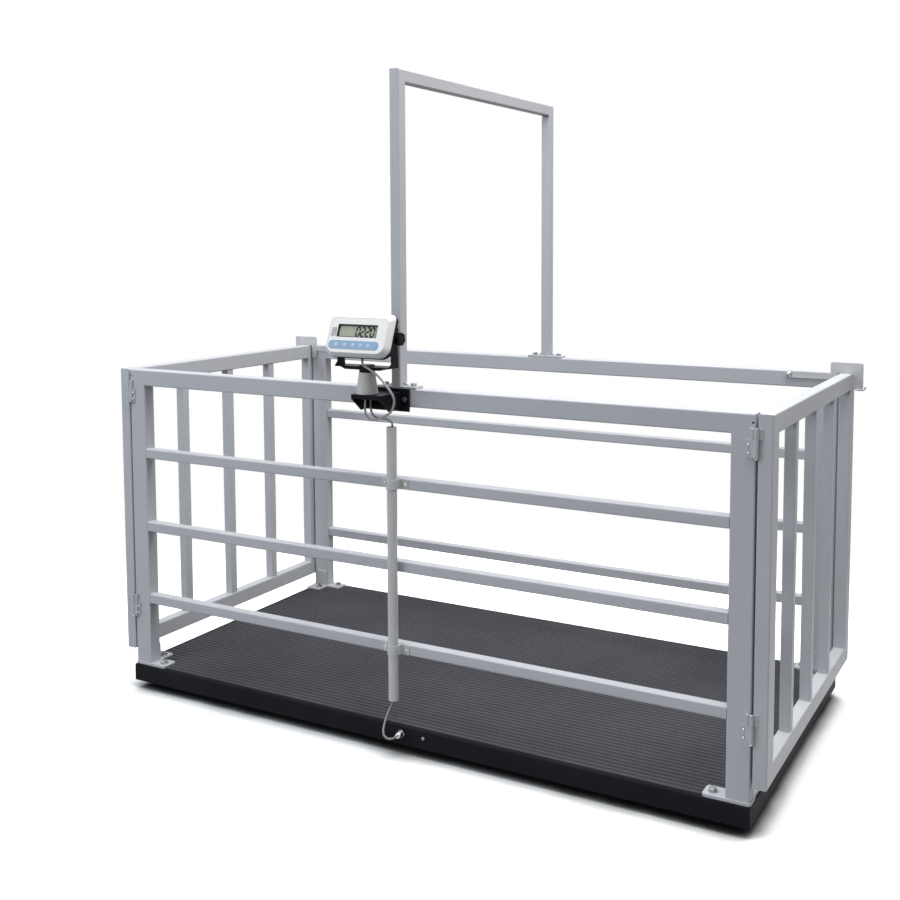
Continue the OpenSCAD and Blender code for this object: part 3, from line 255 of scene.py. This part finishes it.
cell_alloy = finish("cell_alloy", (0.50, 0.51, 0.52), (0.58, 0.58, 0.59), 0.36,
                    drift=20.0, grain=800.0, skin=0.05, metal=0.8)
print("metal finishes", len(bpy.data.materials))

# %% [markdown]
# The indicator has a white front, a black back and a film on its face. The conduit and the neck are
# grey plastic, the cable has a smooth grey sheath, and the feet stand on rubber. Plastic is told from
# paint by its finer grain and its gloss, so the same helper serves with smaller, tighter patterns.

# %% Plastic and rubber finishes
shell_white = finish("shell_white", (0.650, 0.658, 0.655), (0.700, 0.706, 0.703), 0.42,
                     drift=9.0, grain=1600.0, skin=0.06)
face_film = finish("face_film", (0.672, 0.660, 0.646), (0.696, 0.683, 0.668), 0.34,
                   drift=9.0, grain=1800.0, skin=0.04, level=0.3)
shell_black = finish("shell_black", (0.006, 0.006, 0.007), (0.011, 0.011, 0.012), 0.22,
                     drift=18.0, grain=1500.0, skin=0.08, level=0.07)
neck_grey = finish("neck_grey", (0.48, 0.475, 0.462), (0.53, 0.525, 0.512), 0.50,
                   drift=22.0, grain=900.0, skin=0.12)
conduit_grey = finish("conduit_grey", (0.485, 0.49, 0.495), (0.54, 0.545, 0.55), 0.42,
                      drift=5.0, grain=700.0, skin=0.05)
cable_grey = finish("cable_grey", (0.22, 0.22, 0.215), (0.28, 0.28, 0.272), 0.22,
                    drift=16.0, grain=1500.0, skin=0.06)
film_blue = finish("film_blue", (0.168, 0.281, 0.428), (0.199, 0.316, 0.468), 0.38,
                   drift=20.0, grain=2200.0, skin=0.05, level=0.3)
pad_rubber = finish("pad_rubber", (0.010, 0.010, 0.011), (0.020, 0.020, 0.021), 0.78,
                    drift=20.0, grain=700.0, skin=0.25)
board_green = finish("board_green", (0.02, 0.12, 0.06), (0.03, 0.16, 0.08), 0.40,
                     drift=60.0, grain=900.0, skin=0.05)
lcd_green = finish("lcd_green", (0.246, 0.258, 0.182), (0.288, 0.300, 0.216), 0.28,
                   drift=14.0, grain=1800.0, skin=0.02, level=0.2)
lcd_ink = finish("lcd_ink", (0.010, 0.011, 0.010), (0.018, 0.019, 0.017), 0.40,
                 drift=60.0, grain=1800.0, skin=0.02, level=0.1)
plate_grey = finish("plate_grey", (0.27, 0.275, 0.285), (0.34, 0.345, 0.355), 0.36,
                    drift=60.0, grain=1800.0, skin=0.04, level=0.3)
key_pale = finish("key_pale", (0.27, 0.385, 0.55), (0.33, 0.44, 0.60), 0.36,
                  drift=60.0, grain=2200.0, skin=0.04)
print("all finishes", len(bpy.data.materials))

# %% [markdown]
# The mat is a ribbed rubber sheet. Its ribs are real geometry. The material paints shade into the
# grooves and a painted highlight onto the rib tops, by height, and adds the pitted skin of moulded
# rubber, with dusty patches. Stripes could do that too, but they would have to be fitted to the ribs,
# and the height fits by itself.

# %% Mat finish
RIB_FOOT, RIB_TOP = 0.0832, 0.0844
mat_rubber = finish("mat_rubber", (0.051, 0.051, 0.060), (0.069, 0.069, 0.079), 0.86,
                    drift=2.2, grain=600.0, skin=0.22, level=0.15)
tree = mat_rubber.node_tree
shader = tree.nodes["Principled BSDF"]
place = tree.nodes["Texture Coordinate"]
height = node(tree, "SeparateXYZ")
tree.links.new(place.outputs["Object"], height.inputs["Vector"])
# painted shade in the grooves and a painted highlight on the rib tops, set by height
painted_rib_shade = node(tree, "MapRange", From_Min=RIB_FOOT, From_Max=RIB_TOP, To_Min=0.71, To_Max=1.10)
tree.links.new(height.outputs["Z"], painted_rib_shade.inputs["Value"])
shade = node(tree, "VectorMath", operation="SCALE")
tree.links.new(shader.inputs["Base Color"].links[0].from_socket, shade.inputs[0])
tree.links.new(painted_rib_shade.outputs["Result"], shade.inputs["Scale"])
tree.links.new(shade.outputs["Vector"], shader.inputs["Base Color"])
print("mat finish nodes", len(tree.nodes))

# %% [markdown]
# Every solid that is carried over needs its finish. One could go through them by hand, but the
# record already says which material slot each solid has, so a table from slot to finish does it, and
# three solids that differ from the rest of their slot are set by name.

# %% Finishes of the carried nodes
finishes = {
    "painted_steel": silver_coat, "dark_steel": black_coat, "mat_rubber": mat_rubber,
    "cell_alloy": cell_alloy, "zinc_steel": zinc_plate, "latch_steel": latch_plate,
    "pad_rubber": pad_rubber, "nickel": nickel_plate, "black_steel": bracket_coat,
    "grey_plastic": conduit_grey, "white_plastic": shell_white, "black_plastic": shell_black,
    "display_glass": shell_black, "keypad_film": film_blue, "board_laminate": board_green,
    "cable_sheath": cable_grey}
slot_of = {part["node"]: part["material_slot"] for part in frame["record"]["subparts"]}
finish_of = {name: finishes[slot_name] for name, slot_name in slot_of.items()}
finish_of["neck"] = neck_grey
finish_of["bracket_bolts"] = dark_plate
finish_of["skirt_screw"] = dark_plate
for name, solid in frame["nodes"].items():
    solid.data.materials.clear()
    solid.data.materials.append(finish_of[name])
cable.data.materials.append(cable_grey)
print("nodes with a finish", len(frame["nodes"]))

# %% [markdown]
# From here on pieces are modelled by hand. Each starts from a primitive at its size and is then
# shaped in edit mode. These helpers do what a hand does first: put down what was held, pick up only
# the faces or edges that lie in one place, and at the end set the piece where it belongs.

# %% Helpers that pick up


def put_down():
    """Leaves edit mode and deselects everything."""
    if bpy.context.object is not None and bpy.context.object.mode != "OBJECT":
        bpy.ops.object.mode_set(mode="OBJECT")
    bpy.ops.object.select_all(action="DESELECT")


def hold(piece):
    put_down()
    piece.select_set(True)
    bpy.context.view_layer.objects.active = piece


def choose(piece, kind, test):
    """Edit mode with only the faces, edges or vertices whose middle and direction pass the test."""
    hold(piece)
    mesh = piece.data
    for group in (mesh.vertices, mesh.edges, mesh.polygons):
        group.foreach_set("select", [False] * len(group))
    if kind == "FACE":
        for face in mesh.polygons:
            face.select = test(face.center, face.normal)
    elif kind == "EDGE":
        for edge in mesh.edges:
            a, b = (mesh.vertices[i].co for i in edge.vertices)
            edge.select = test((a + b) / 2, (b - a).normalized())
    else:
        for vertex in mesh.vertices:
            vertex.select = test(vertex.co, vertex.normal)
    scene.tool_settings.mesh_select_mode = (kind == "VERT", kind == "EDGE", kind == "FACE")
    bpy.ops.object.mode_set(mode="EDIT")


def everything(mid, way):
    return True


def upright(mid, way):
    return abs(way.z) > 0.9


def facing_up(mid, way):
    return way.z > 0.9


print("picking up: edges, faces and vertices by place and direction")

# %% [markdown]
# Most pieces here start as a box or a disc. These helpers add one at its size and place, draw
# selected faces out, and copy, join and delete pieces. The operators could be called each time, but
# every one of them acts on whatever is selected, so the helpers also see to the selection.

# %% Helpers that start a piece


def block(name, size, middle):
    """A box at its size and place, as the start of a piece."""
    put_down()
    bpy.ops.mesh.primitive_cube_add(size=1.0, location=middle)
    made = bpy.context.object
    made.name = name
    made.scale = size
    bpy.ops.object.transform_apply(location=True, rotation=True, scale=True)
    return made


def disc(name, radius, middle, sides):
    """A filled circle facing up, as the start of a turned piece."""
    put_down()
    bpy.ops.mesh.primitive_circle_add(vertices=sides, radius=radius, fill_type="NGON", location=middle)
    made = bpy.context.object
    made.name = name
    bpy.ops.object.transform_apply(location=True, rotation=True, scale=True)
    return made


def push(step):
    """Extrudes the selected faces by a step."""
    bpy.ops.mesh.extrude_region_move(TRANSFORM_OT_translate={"value": step})


def copy_of(piece, name):
    """A copy with its own mesh."""
    made = bpy.data.objects.new(name, piece.data.copy())
    scene.collection.objects.link(made)
    return made


def join(pieces, name):
    """Joins pieces into the first of them."""
    hold(pieces[0])
    for piece in pieces:
        piece.select_set(True)
    bpy.ops.object.join()
    pieces[0].name = name
    return pieces[0]


def throw_away(*pieces):
    """Deletes what was only a tool or a pattern."""
    put_down()
    for piece in pieces:
        piece.select_set(True)
    bpy.ops.object.delete()


print("starts: block and disc")

# %% [markdown]
# At the end a piece is set in its place, shaded and given to the body that it moves with. Its place
# could stay on the object, but patterns and joints need it in the mesh, so it is applied.

# %% Helpers that finish a piece


def place_at(piece, matrix):
    """Turns and moves a piece, and keeps its place in its mesh."""
    hold(piece)
    piece.matrix_world = matrix
    bpy.ops.object.transform_apply(location=True, rotation=True, scale=True)


def change(piece, kind, **values):
    """Adds a modifier and applies it."""
    hold(piece)
    bpy.ops.object.modifier_add(type=kind)
    made = piece.modifiers[-1]
    for key, value in values.items():
        setattr(made, key, value)
    bpy.ops.object.modifier_apply(modifier=made.name)


def smooth(piece, angle=32.0):
    """Smooth shading that keeps flat faces flat."""
    hold(piece)
    bpy.ops.object.shade_smooth_by_angle(angle=math.radians(angle))
    change(piece, "WEIGHTED_NORMAL", keep_sharp=True)


def dress(piece, body, slot_name, material, *stands_for):
    """Gives a piece its finish and its body, and hides the solids it stands for."""
    if not piece.data.materials:
        piece.data.materials.append(material)
    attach(piece, body)
    if stands_for:
        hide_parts(*stands_for)


print("ends: place, modifier, shading and body")

# %% [markdown]
# The indicator sits in its own frame: X across the face, Y up the face, Z out of it, turned about
# the tilt axis. Its pieces are modelled flat in that frame, which keeps every selection a plain
# comparison, and are set into the crate at the end.
#
# The front shell is one moulding: an upright rim, a wide bevel and a flat face, with small round
# corners above and large ones below, and a sheet of film in a shallow bed on the face. It could be
# sculpted, but a box that is bevelled, extruded and drawn in keeps every crease even. The bed is two
# insets, the second one pushed in. The black band along the seam is cut off the rim by a bisect and
# has its own finish. The wall comes last, from a Solidify modifier.

# %% Front shell of the indicator
FACE = Matrix.Translation((-0.046, -0.490, 1.168)) @ Matrix.Rotation(math.radians(69.5), 4, "X")
SEAM, SEAL, RIM, TOP = 0.024, 0.0285, 0.032, 0.046
NEAR = 0.0005
front_shell = block("front_shell", (0.206, 0.121, RIM - SEAM), (0.0, -0.0035, (SEAM + RIM) / 2))
choose(front_shell, "EDGE", lambda mid, way: abs(way.z) > 0.9 and mid.y > 0)
bpy.ops.mesh.bevel(offset=0.016, segments=8, affect="EDGES")
choose(front_shell, "EDGE", lambda mid, way: abs(way.z) > 0.9 and mid.y < -0.06)
bpy.ops.mesh.bevel(offset=0.030, segments=12, affect="EDGES")
choose(front_shell, "FACE", facing_up)
push((0.0, -0.0035, TOP - RIM))
bpy.ops.transform.resize(value=(0.893, 0.81, 1.0), center_override=(0.0, -0.007, TOP))
choose(front_shell, "EDGE", lambda mid, way: mid.z > TOP - NEAR)
bpy.ops.mesh.bevel(offset=0.0028, segments=4, affect="EDGES")
choose(front_shell, "EDGE", lambda mid, way: abs(mid.z - RIM) < NEAR and abs(way.z) < 0.1)
bpy.ops.mesh.bevel(offset=0.0030, segments=4, affect="EDGES")
put_down()
front_shell.data.materials.append(shell_white)
front_shell.data.materials.append(face_film)
front_shell.data.materials.append(shell_black)
choose(front_shell, "FACE", lambda mid, way: way.z > 0.9 and mid.z > TOP - NEAR)
bpy.ops.mesh.inset(thickness=0.0010)
bpy.ops.mesh.inset(thickness=0.0005, depth=-0.0006)
front_shell.active_material_index = 1
bpy.ops.object.material_slot_assign()
choose(front_shell, "FACE", everything)
bpy.ops.mesh.bisect(plane_co=(0.0, 0.0, SEAL), plane_no=(0.0, 0.0, 1.0))
choose(front_shell, "FACE", lambda mid, way: abs(way.z) < 0.5 and mid.z < SEAL)
front_shell.active_material_index = 2
bpy.ops.object.material_slot_assign()
choose(front_shell, "FACE", lambda mid, way: way.z < -0.9)
bpy.ops.mesh.delete(type="FACE")
change(front_shell, "SOLIDIFY", thickness=0.003, offset=-1.0, use_even_offset=True)
print("front shell", [round(c, 4) for c in front_shell.dimensions])

# %% [markdown]
# Two openings go through or into the face: a window for the display and a shallow bed for the keypad.
# They could be cut with insets, but the face has no edges there, so two plain tools are modelled and
# taken away with Boolean modifiers, as a mill would do it.

# %% Openings in the face
WINDOW_X, WINDOW_Y = -0.002, 0.005
KEYPAD_X, KEYPAD_Y, KEYPAD_L = -0.006, -0.034, 0.160
window_tool = block("window_tool", (0.1268, 0.0358, 0.012), (WINDOW_X, WINDOW_Y, TOP))
choose(window_tool, "EDGE", upright)
bpy.ops.mesh.bevel(offset=0.0012, segments=3, affect="EDGES")
bed_tool = block("bed_tool", (0.1608, 0.0238, 0.010), (KEYPAD_X, KEYPAD_Y, TOP + 0.0042))
choose(bed_tool, "EDGE", upright)
bpy.ops.mesh.bevel(offset=0.0118, segments=14, affect="EDGES")
put_down()
for tool in (window_tool, bed_tool):
    change(front_shell, "BOOLEAN", object=tool, operation="DIFFERENCE", solver="EXACT")
throw_away(window_tool, bed_tool)
smooth(front_shell)
place_at(front_shell, FACE)
dress(front_shell, "indicator", "white_plastic", shell_white, "indicator_front_shell")
print("front shell faces", len(front_shell.data.polygons))

# %% [markdown]
# The display is a black tray set into the window with the glass at its floor. The deep black wall
# gives the dark line along its top. Its black wall and border are partly a real mask and partly
# painted shade: the border is made wider along the top and left, where the recess throws its shadow.
# A box is inset and pushed down, and the floor gets its own finish.

# %% Display tray
lcd_panel = block("lcd_panel", (0.1262, 0.0352, 0.0060), (WINDOW_X, WINDOW_Y, 0.0425))
choose(lcd_panel, "FACE", facing_up)
bpy.ops.mesh.inset(thickness=0.0026)
# painted shade: the glass floor is moved right and down, so the black border is wider at the top and
# left
bpy.ops.transform.translate(value=(0.0009, -0.0010, 0.0))
push((0.0, 0.0, -0.0038))
put_down()
lcd_panel.data.materials.append(shell_black)
lcd_panel.data.materials.append(lcd_green)
choose(lcd_panel, "FACE", lambda mid, way: way.z > 0.9 and mid.z < 0.0435)
lcd_panel.active_material_index = 1
bpy.ops.object.material_slot_assign()
choose(lcd_panel, "EDGE", lambda mid, way: mid.z > 0.0452 or (abs(way.z) > 0.9 and mid.z > 0.041))
bpy.ops.mesh.bevel(offset=0.0003, segments=2, affect="EDGES")
put_down()
smooth(lcd_panel)
place_at(lcd_panel, FACE)
dress(lcd_panel, "indicator", "display_glass", shell_black, "display_window")
print("display tray faces", len(lcd_panel.data.polygons))

# %% [markdown]
# The figures are the usual slanted seven-segment bars. They could be text, but a font has no such
# bars, so one bar is modelled from a plane whose two ends are drawn out to points, and each lit
# segment is a copy of it.

# %% Figures of the display
BAR, HALF_W, HALF_H = 0.0048, 0.0052, 0.0060
FIRST_X, FIGURE_Y, FIGURE_STEP = -0.0012, 0.0038, 0.0155
SLANT, INK = 0.12, 0.00015
put_down()
bpy.ops.mesh.primitive_plane_add(size=1.0)
bar = bpy.context.object
bar.scale = (2 * HALF_W - BAR, BAR, 1.0)
bpy.ops.object.transform_apply(location=True, rotation=True, scale=True)
for side in (-1, 1):
    choose(bar, "EDGE", lambda mid, way: abs(way.y) > 0.9 and mid.x * side > 0.0025)
    bpy.ops.mesh.extrude_region_move(TRANSFORM_OT_translate={"value": (side * BAR / 2 * 0.9, 0.0, 0.0)})
    bpy.ops.transform.resize(value=(1.0, 0.02, 1.0), center_override=(0.0, 0.0, 0.0))
put_down()
tall = Matrix.Rotation(math.radians(90), 4, "Z") @ Matrix.Scale(1.16, 4, (1, 0, 0))
segments = {
    "a": Matrix.Translation((0.0, 2 * HALF_H, 0.0)), "g": Matrix.Identity(4),
    "d": Matrix.Translation((0.0, -2 * HALF_H, 0.0)),
    "b": Matrix.Translation((HALF_W, HALF_H, 0.0)) @ tall,
    "c": Matrix.Translation((HALF_W, -HALF_H, 0.0)) @ tall,
    "e": Matrix.Translation((-HALF_W, -HALF_H, 0.0)) @ tall,
    "f": Matrix.Translation((-HALF_W, HALF_H, 0.0)) @ tall}
lit = ("abcdef", "abdeg", "abdeg", "abcdef")
bars = []
for place_no, letters in enumerate(lit):
    for letter in letters:
        copied = copy_of(bar, "bar_%d_%s" % (place_no, letter))
        middle = Matrix.Translation((FIRST_X + FIGURE_STEP * place_no, FIGURE_Y, 0.0))
        place_at(copied, middle @ segments[letter])
        bars.append(copied)
display_digits = join(bars, "display_digits")
for vertex in display_digits.data.vertices:
    vertex.co.x += SLANT * (vertex.co.y - FIGURE_Y)
choose(display_digits, "FACE", everything)
push((0.0, 0.0, INK))
bpy.ops.mesh.select_all(action="SELECT")
bpy.ops.mesh.normals_make_consistent(inside=False)
place_at(display_digits, FACE @ Matrix.Translation((0.0, 0.0, 0.04172)))
dress(display_digits, "indicator", "display_glass", lcd_ink)
throw_away(bar)
print("figures of", len(bars), "bars")

# %% [markdown]
# The keypad is a film in its bed with five low key domes. The domes could be a bump in the material,
# but then the mesh would lack them. The film is a box with its upright edges bevelled to full half
# rounds, and one dome is drawn up from a disc and copied along the film.

# %% Keypad film and keys
keypad_film = block("keypad_film", (KEYPAD_L, 0.023, 0.0012), (KEYPAD_X, KEYPAD_Y, TOP - 0.0002))
choose(keypad_film, "EDGE", upright)
bpy.ops.mesh.bevel(offset=0.0114, segments=14, affect="EDGES")
choose(keypad_film, "EDGE", lambda mid, way: mid.z > TOP + 0.0003)
bpy.ops.mesh.bevel(offset=0.0003, segments=2, affect="EDGES")
smooth(keypad_film)
place_at(keypad_film, FACE)
dress(keypad_film, "indicator", "keypad_film", film_blue, "keypad")
key = disc("key", 0.0050, (0.0, 0.0, 0.0), 32)
choose(key, "FACE", everything)
push((0.0, 0.0, 0.0005))
bpy.ops.mesh.inset(thickness=0.0010)
push((0.0, 0.0, 0.0003))
bpy.ops.mesh.inset(thickness=0.0016)
push((0.0, 0.0, 0.0001))
choose(key, "VERT", everything)
bpy.ops.mesh.normals_make_consistent(inside=False)
smooth(key, 60.0)
keys = []
for share in (0.16, 0.33, 0.5, 0.65, 0.8):
    copied = copy_of(key, "key_%d" % round(100 * share))
    along = KEYPAD_X + KEYPAD_L * (share - 0.5)
    place_at(copied, FACE @ Matrix.Translation((along, KEYPAD_Y, TOP + 0.0003)))
    keys.append(copied)
dress(join(keys, "key_domes"), "indicator", "keypad_film", key_pale)
throw_away(key)
print("keys", len(keys))

# %% [markdown]
# A small bare grey plate sits left of the display. It could be a patch of colour on the film, but a
# thin box with eased edges gets the fine bright outline that a plate on a face has.

# %% Bare plate beside the display
side_plate = block("side_plate", (0.015, 0.023, 0.0012), (-0.0755, 0.0015, TOP))
choose(side_plate, "EDGE", upright)
bpy.ops.mesh.bevel(offset=0.0010, segments=3, affect="EDGES")
choose(side_plate, "EDGE", lambda mid, way: mid.z > TOP + 0.0005)
bpy.ops.mesh.bevel(offset=0.0002, segments=2, affect="EDGES")
smooth(side_plate)
place_at(side_plate, FACE)
dress(side_plate, "indicator", "grey_plastic", plate_grey)
print("plate faces", len(side_plate.data.polygons))

# %% [markdown]
# The clamp knobs are moulded grips with six lobes on a round neck. The grip starts as a disc of 72
# points: the points between the lobes are drawn in, the disc is pushed up, and its rims are rounded.
# The neck and stud are turned from a second disc, and the left knob is a turned copy.

# %% Clamp knobs
SEAT, LOBE_TURN = 0.0888, 60
grip = disc("grip", 0.0175, (0.0, 0.0, SEAT + 0.009), 72)


def from_valley(mid):
    """Degrees round the grip from the nearest valley between two lobes."""
    return abs(math.degrees(math.atan2(mid.y, mid.x)) % LOBE_TURN - LOBE_TURN / 2)


def outwards(mid):
    return Vector((mid.x, mid.y)).length


for reach, share in ((10.5, 0.955), (6.0, 0.93), (2.0, 0.97)):
    choose(grip, "VERT", lambda mid, way: from_valley(mid) < reach + 1e-3)
    bpy.ops.transform.resize(value=(share, share, 1.0), center_override=(0.0, 0.0, 0.0))
choose(grip, "FACE", everything)
push((0.0, 0.0, 0.015))
bpy.ops.mesh.inset(thickness=0.0045)
push((0.0, 0.0, -0.0008))
choose(grip, "VERT", everything)
bpy.ops.mesh.normals_make_consistent(inside=False)
choose(grip, "EDGE", lambda mid, way: abs(way.z) < 0.1 and outwards(mid) > 0.0140)
bpy.ops.mesh.bevel(offset=0.0016, segments=4, affect="EDGES")
knob_neck = disc("knob_neck", 0.010, (0.0, 0.0, SEAT + 0.0095), 40)
choose(knob_neck, "FACE", everything)
push((0.0, 0.0, -0.0095))
bpy.ops.mesh.inset(thickness=0.006)
push((0.0, 0.0, -0.0174))
choose(knob_neck, "VERT", everything)
bpy.ops.mesh.normals_make_consistent(inside=False)
choose(knob_neck, "EDGE", lambda mid, way: abs(mid.z - SEAT) < 1e-4 and outwards(mid) > 0.009)
bpy.ops.mesh.bevel(offset=0.0006, segments=2, affect="EDGES")
join((grip, knob_neck), "clamp_knob_right")
smooth(grip, 40.0)
left_knob = copy_of(grip, "clamp_knob_left")
place_at(left_knob, FACE @ Matrix.Rotation(math.radians(-90), 4, "Y"))
place_at(grip, FACE @ Matrix.Rotation(math.radians(90), 4, "Y"))
dress(grip, "knob_right", "black_plastic", shell_black, "tilt_knob_right")
dress(left_knob, "knob_left", "black_plastic", shell_black, "tilt_knob_left")
print("knob faces", len(grip.data.polygons))

# %% [markdown]
# Cut, folded and turned steel never has a razor edge: cutting and plating leave a small radius that
# catches the light. The solids have sharp edges there, so each of these pieces is a copy of its solid
# whose loose triangles are merged and whose edges get a Bevel modifier, at a width that suits its make.

# %% Eased edges
EASED = {
    "deck_tray": 0.0012, "post_foot_plates": 0.0008, "arch_foot_plates": 0.0008,
    "deck_bolts": 0.0006, "arch_bolts": 0.0006, "bracket_bolts": 0.0006,
    "hinge_post_leaves": 0.0005, "hinge_leaf_bolts": 0.0004, "hinge_pins": 0.0005,
    "left_gate_knuckles": 0.0005, "right_gate_knuckles": 0.0005, "left_latch": 0.0006,
    "right_latch": 0.0006, "latch_pivot_bolts": 0.0004, "indicator_bracket": 0.0005, "neck": 0.0008,
    "yoke": 0.0005, "indicator_rear_shell": 0.0010, "indicator_gland": 0.0005, "conduit": 0.0004,
    "conduit_clips": 0.0004, "clip_screws": 0.0004, "skirt_gland": 0.0005, "skirt_screw": 0.0004,
    "foot_pads": 0.0012, "foot_studs": 0.0004, "load_cells": 0.0006, "junction_box": 0.0010,
    "junction_box_lid": 0.0010}
for name, width in EASED.items():
    solid = frame["nodes"][name]
    eased = copy_of(solid, name + "_eased")
    choose(eased, "VERT", everything)
    bpy.ops.mesh.remove_doubles(threshold=0.00002)
    bpy.ops.mesh.dissolve_limited(angle_limit=math.radians(0.5))
    change(eased, "BEVEL", width=width, segments=2, limit_method="ANGLE", angle_limit=math.radians(35),
           use_clamp_overlap=False)
    smooth(eased)
    dress(eased, solid["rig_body"], slot_of[name], finish_of[name], name)
print("eased pieces", len(EASED))

# %% [markdown]
# Light. The picture is a studio cut-out: even white all round and a dark contact shadow.
# A big soft box over the crate lights the tops of the tubes, a cool one fills the front, a warmer one
# the right side, and the world gives the rest. Small lamps would be simpler, but only large ones give
# tubes such soft edges of light.

# %% Lights


def soft_box(name, place, aim, size, power, colour):
    lamp = bpy.data.lights.new(name, "AREA")
    lamp.shape = "RECTANGLE"
    lamp.size, lamp.size_y = size
    lamp.energy = power
    lamp.color = colour
    made = bpy.data.objects.new(name, lamp)
    made.location = place
    made.rotation_euler = (Vector(aim) - Vector(place)).to_track_quat("-Z", "Y").to_euler()
    scene.collection.objects.link(made)


soft_box("top_box", (0.4, 0.3, 5.6), (0.0, 0.0, 0.6), (5.5, 4.0), 222.0, (1.0, 1.0, 1.0))
soft_box("front_box", (-2.9, -4.0, 3.3), (0.0, 0.0, 0.7), (2.6, 2.0), 126.0, (0.84, 0.91, 1.0))
soft_box("right_box", (1.5, -0.2, 4.2), (0.0, 0.0, 1.3), (2.0, 2.0), 88.0, (1.0, 0.985, 0.95))
world = bpy.data.worlds.new("studio")
scene.world = world
world.use_nodes = True
sky = world.node_tree
ambient = sky.nodes["Background"]
ambient.inputs["Color"].default_value = (0.96, 0.98, 1.0, 1.0)
ambient.inputs["Strength"].default_value = 0.46
seen_white = node(sky, "Background", Color=(1.0, 1.0, 1.0, 1.0), Strength=1.0)


def seen_rays(tree):
    """One for a ray that shows the surface itself: from the camera, a reflection or through glass."""
    path = node(tree, "LightPath")
    first = node(tree, "Math", operation="MAXIMUM")
    tree.links.new(path.outputs["Is Camera Ray"], first.inputs[0])
    tree.links.new(path.outputs["Is Glossy Ray"], first.inputs[1])
    both = node(tree, "Math", operation="MAXIMUM")
    tree.links.new(first.outputs["Value"], both.inputs[0])
    tree.links.new(path.outputs["Is Transmission Ray"], both.inputs[1])
    return both.outputs["Value"]


pick = node(sky, "MixShader")
sky.links.new(seen_rays(sky), pick.inputs["Fac"])
sky.links.new(ambient.outputs["Background"], pick.inputs[1])
sky.links.new(seen_white.outputs["Background"], pick.inputs[2])
sky.links.new(pick.outputs["Shader"], sky.nodes["World Output"].inputs["Surface"])

# %% [markdown]
# The floor is one sheet of matt paper. A plain white floor would throw its light back up under the
# crate, so it is dark grey to the light that bounces and white to the rays that show it. The contact
# shadow comes from how far the paper is closed in by the skirt, and far away the paper fades to white.

# %% Floor
bpy.ops.object.select_all(action="DESELECT")
bpy.ops.mesh.primitive_plane_add(size=24.0)
floor = bpy.context.object
floor.name = "floor"
paper = bpy.data.materials.new("studio_paper")
paper.use_nodes = True
tree = paper.node_tree
tree.nodes.remove(tree.nodes["Principled BSDF"])
seen = seen_rays(tree)
matt = node(tree, "BsdfDiffuse")
tint = node(tree, "Mix", data_type="RGBA")
tint.inputs[6].default_value = (0.09, 0.09, 0.09, 1.0)
near = node(tree, "AmbientOcclusion", samples=8, Distance=0.12)
depth = node(tree, "MapRange", From_Min=0.45, From_Max=0.95, To_Min=0.03, To_Max=1.45)
tree.links.new(near.outputs["AO"], depth.inputs["Value"])
tree.links.new(depth.outputs["Result"], tint.inputs[7])
tree.links.new(seen, tint.inputs["Factor"])
tree.links.new(tint.outputs[2], matt.inputs["Color"])
glow = node(tree, "Emission", Strength=1.0)
place = node(tree, "TexCoord")
reach = node(tree, "VectorMath", operation="LENGTH")
tree.links.new(place.outputs["Object"], reach.inputs[0])
far = node(tree, "MapRange", From_Min=1.5, From_Max=2.4)
tree.links.new(reach.outputs["Value"], far.inputs["Value"])
both = node(tree, "Math", operation="MULTIPLY")
tree.links.new(far.outputs["Result"], both.inputs[0])
tree.links.new(seen, both.inputs[1])
blend = node(tree, "MixShader")
tree.links.new(both.outputs["Value"], blend.inputs["Fac"])
tree.links.new(matt.outputs["BSDF"], blend.inputs[1])
tree.links.new(glow.outputs["Emission"], blend.inputs[2])
tree.links.new(blend.outputs["Shader"], tree.nodes["Material Output"].inputs["Surface"])
floor.data.materials.append(paper)
print("floor laid")
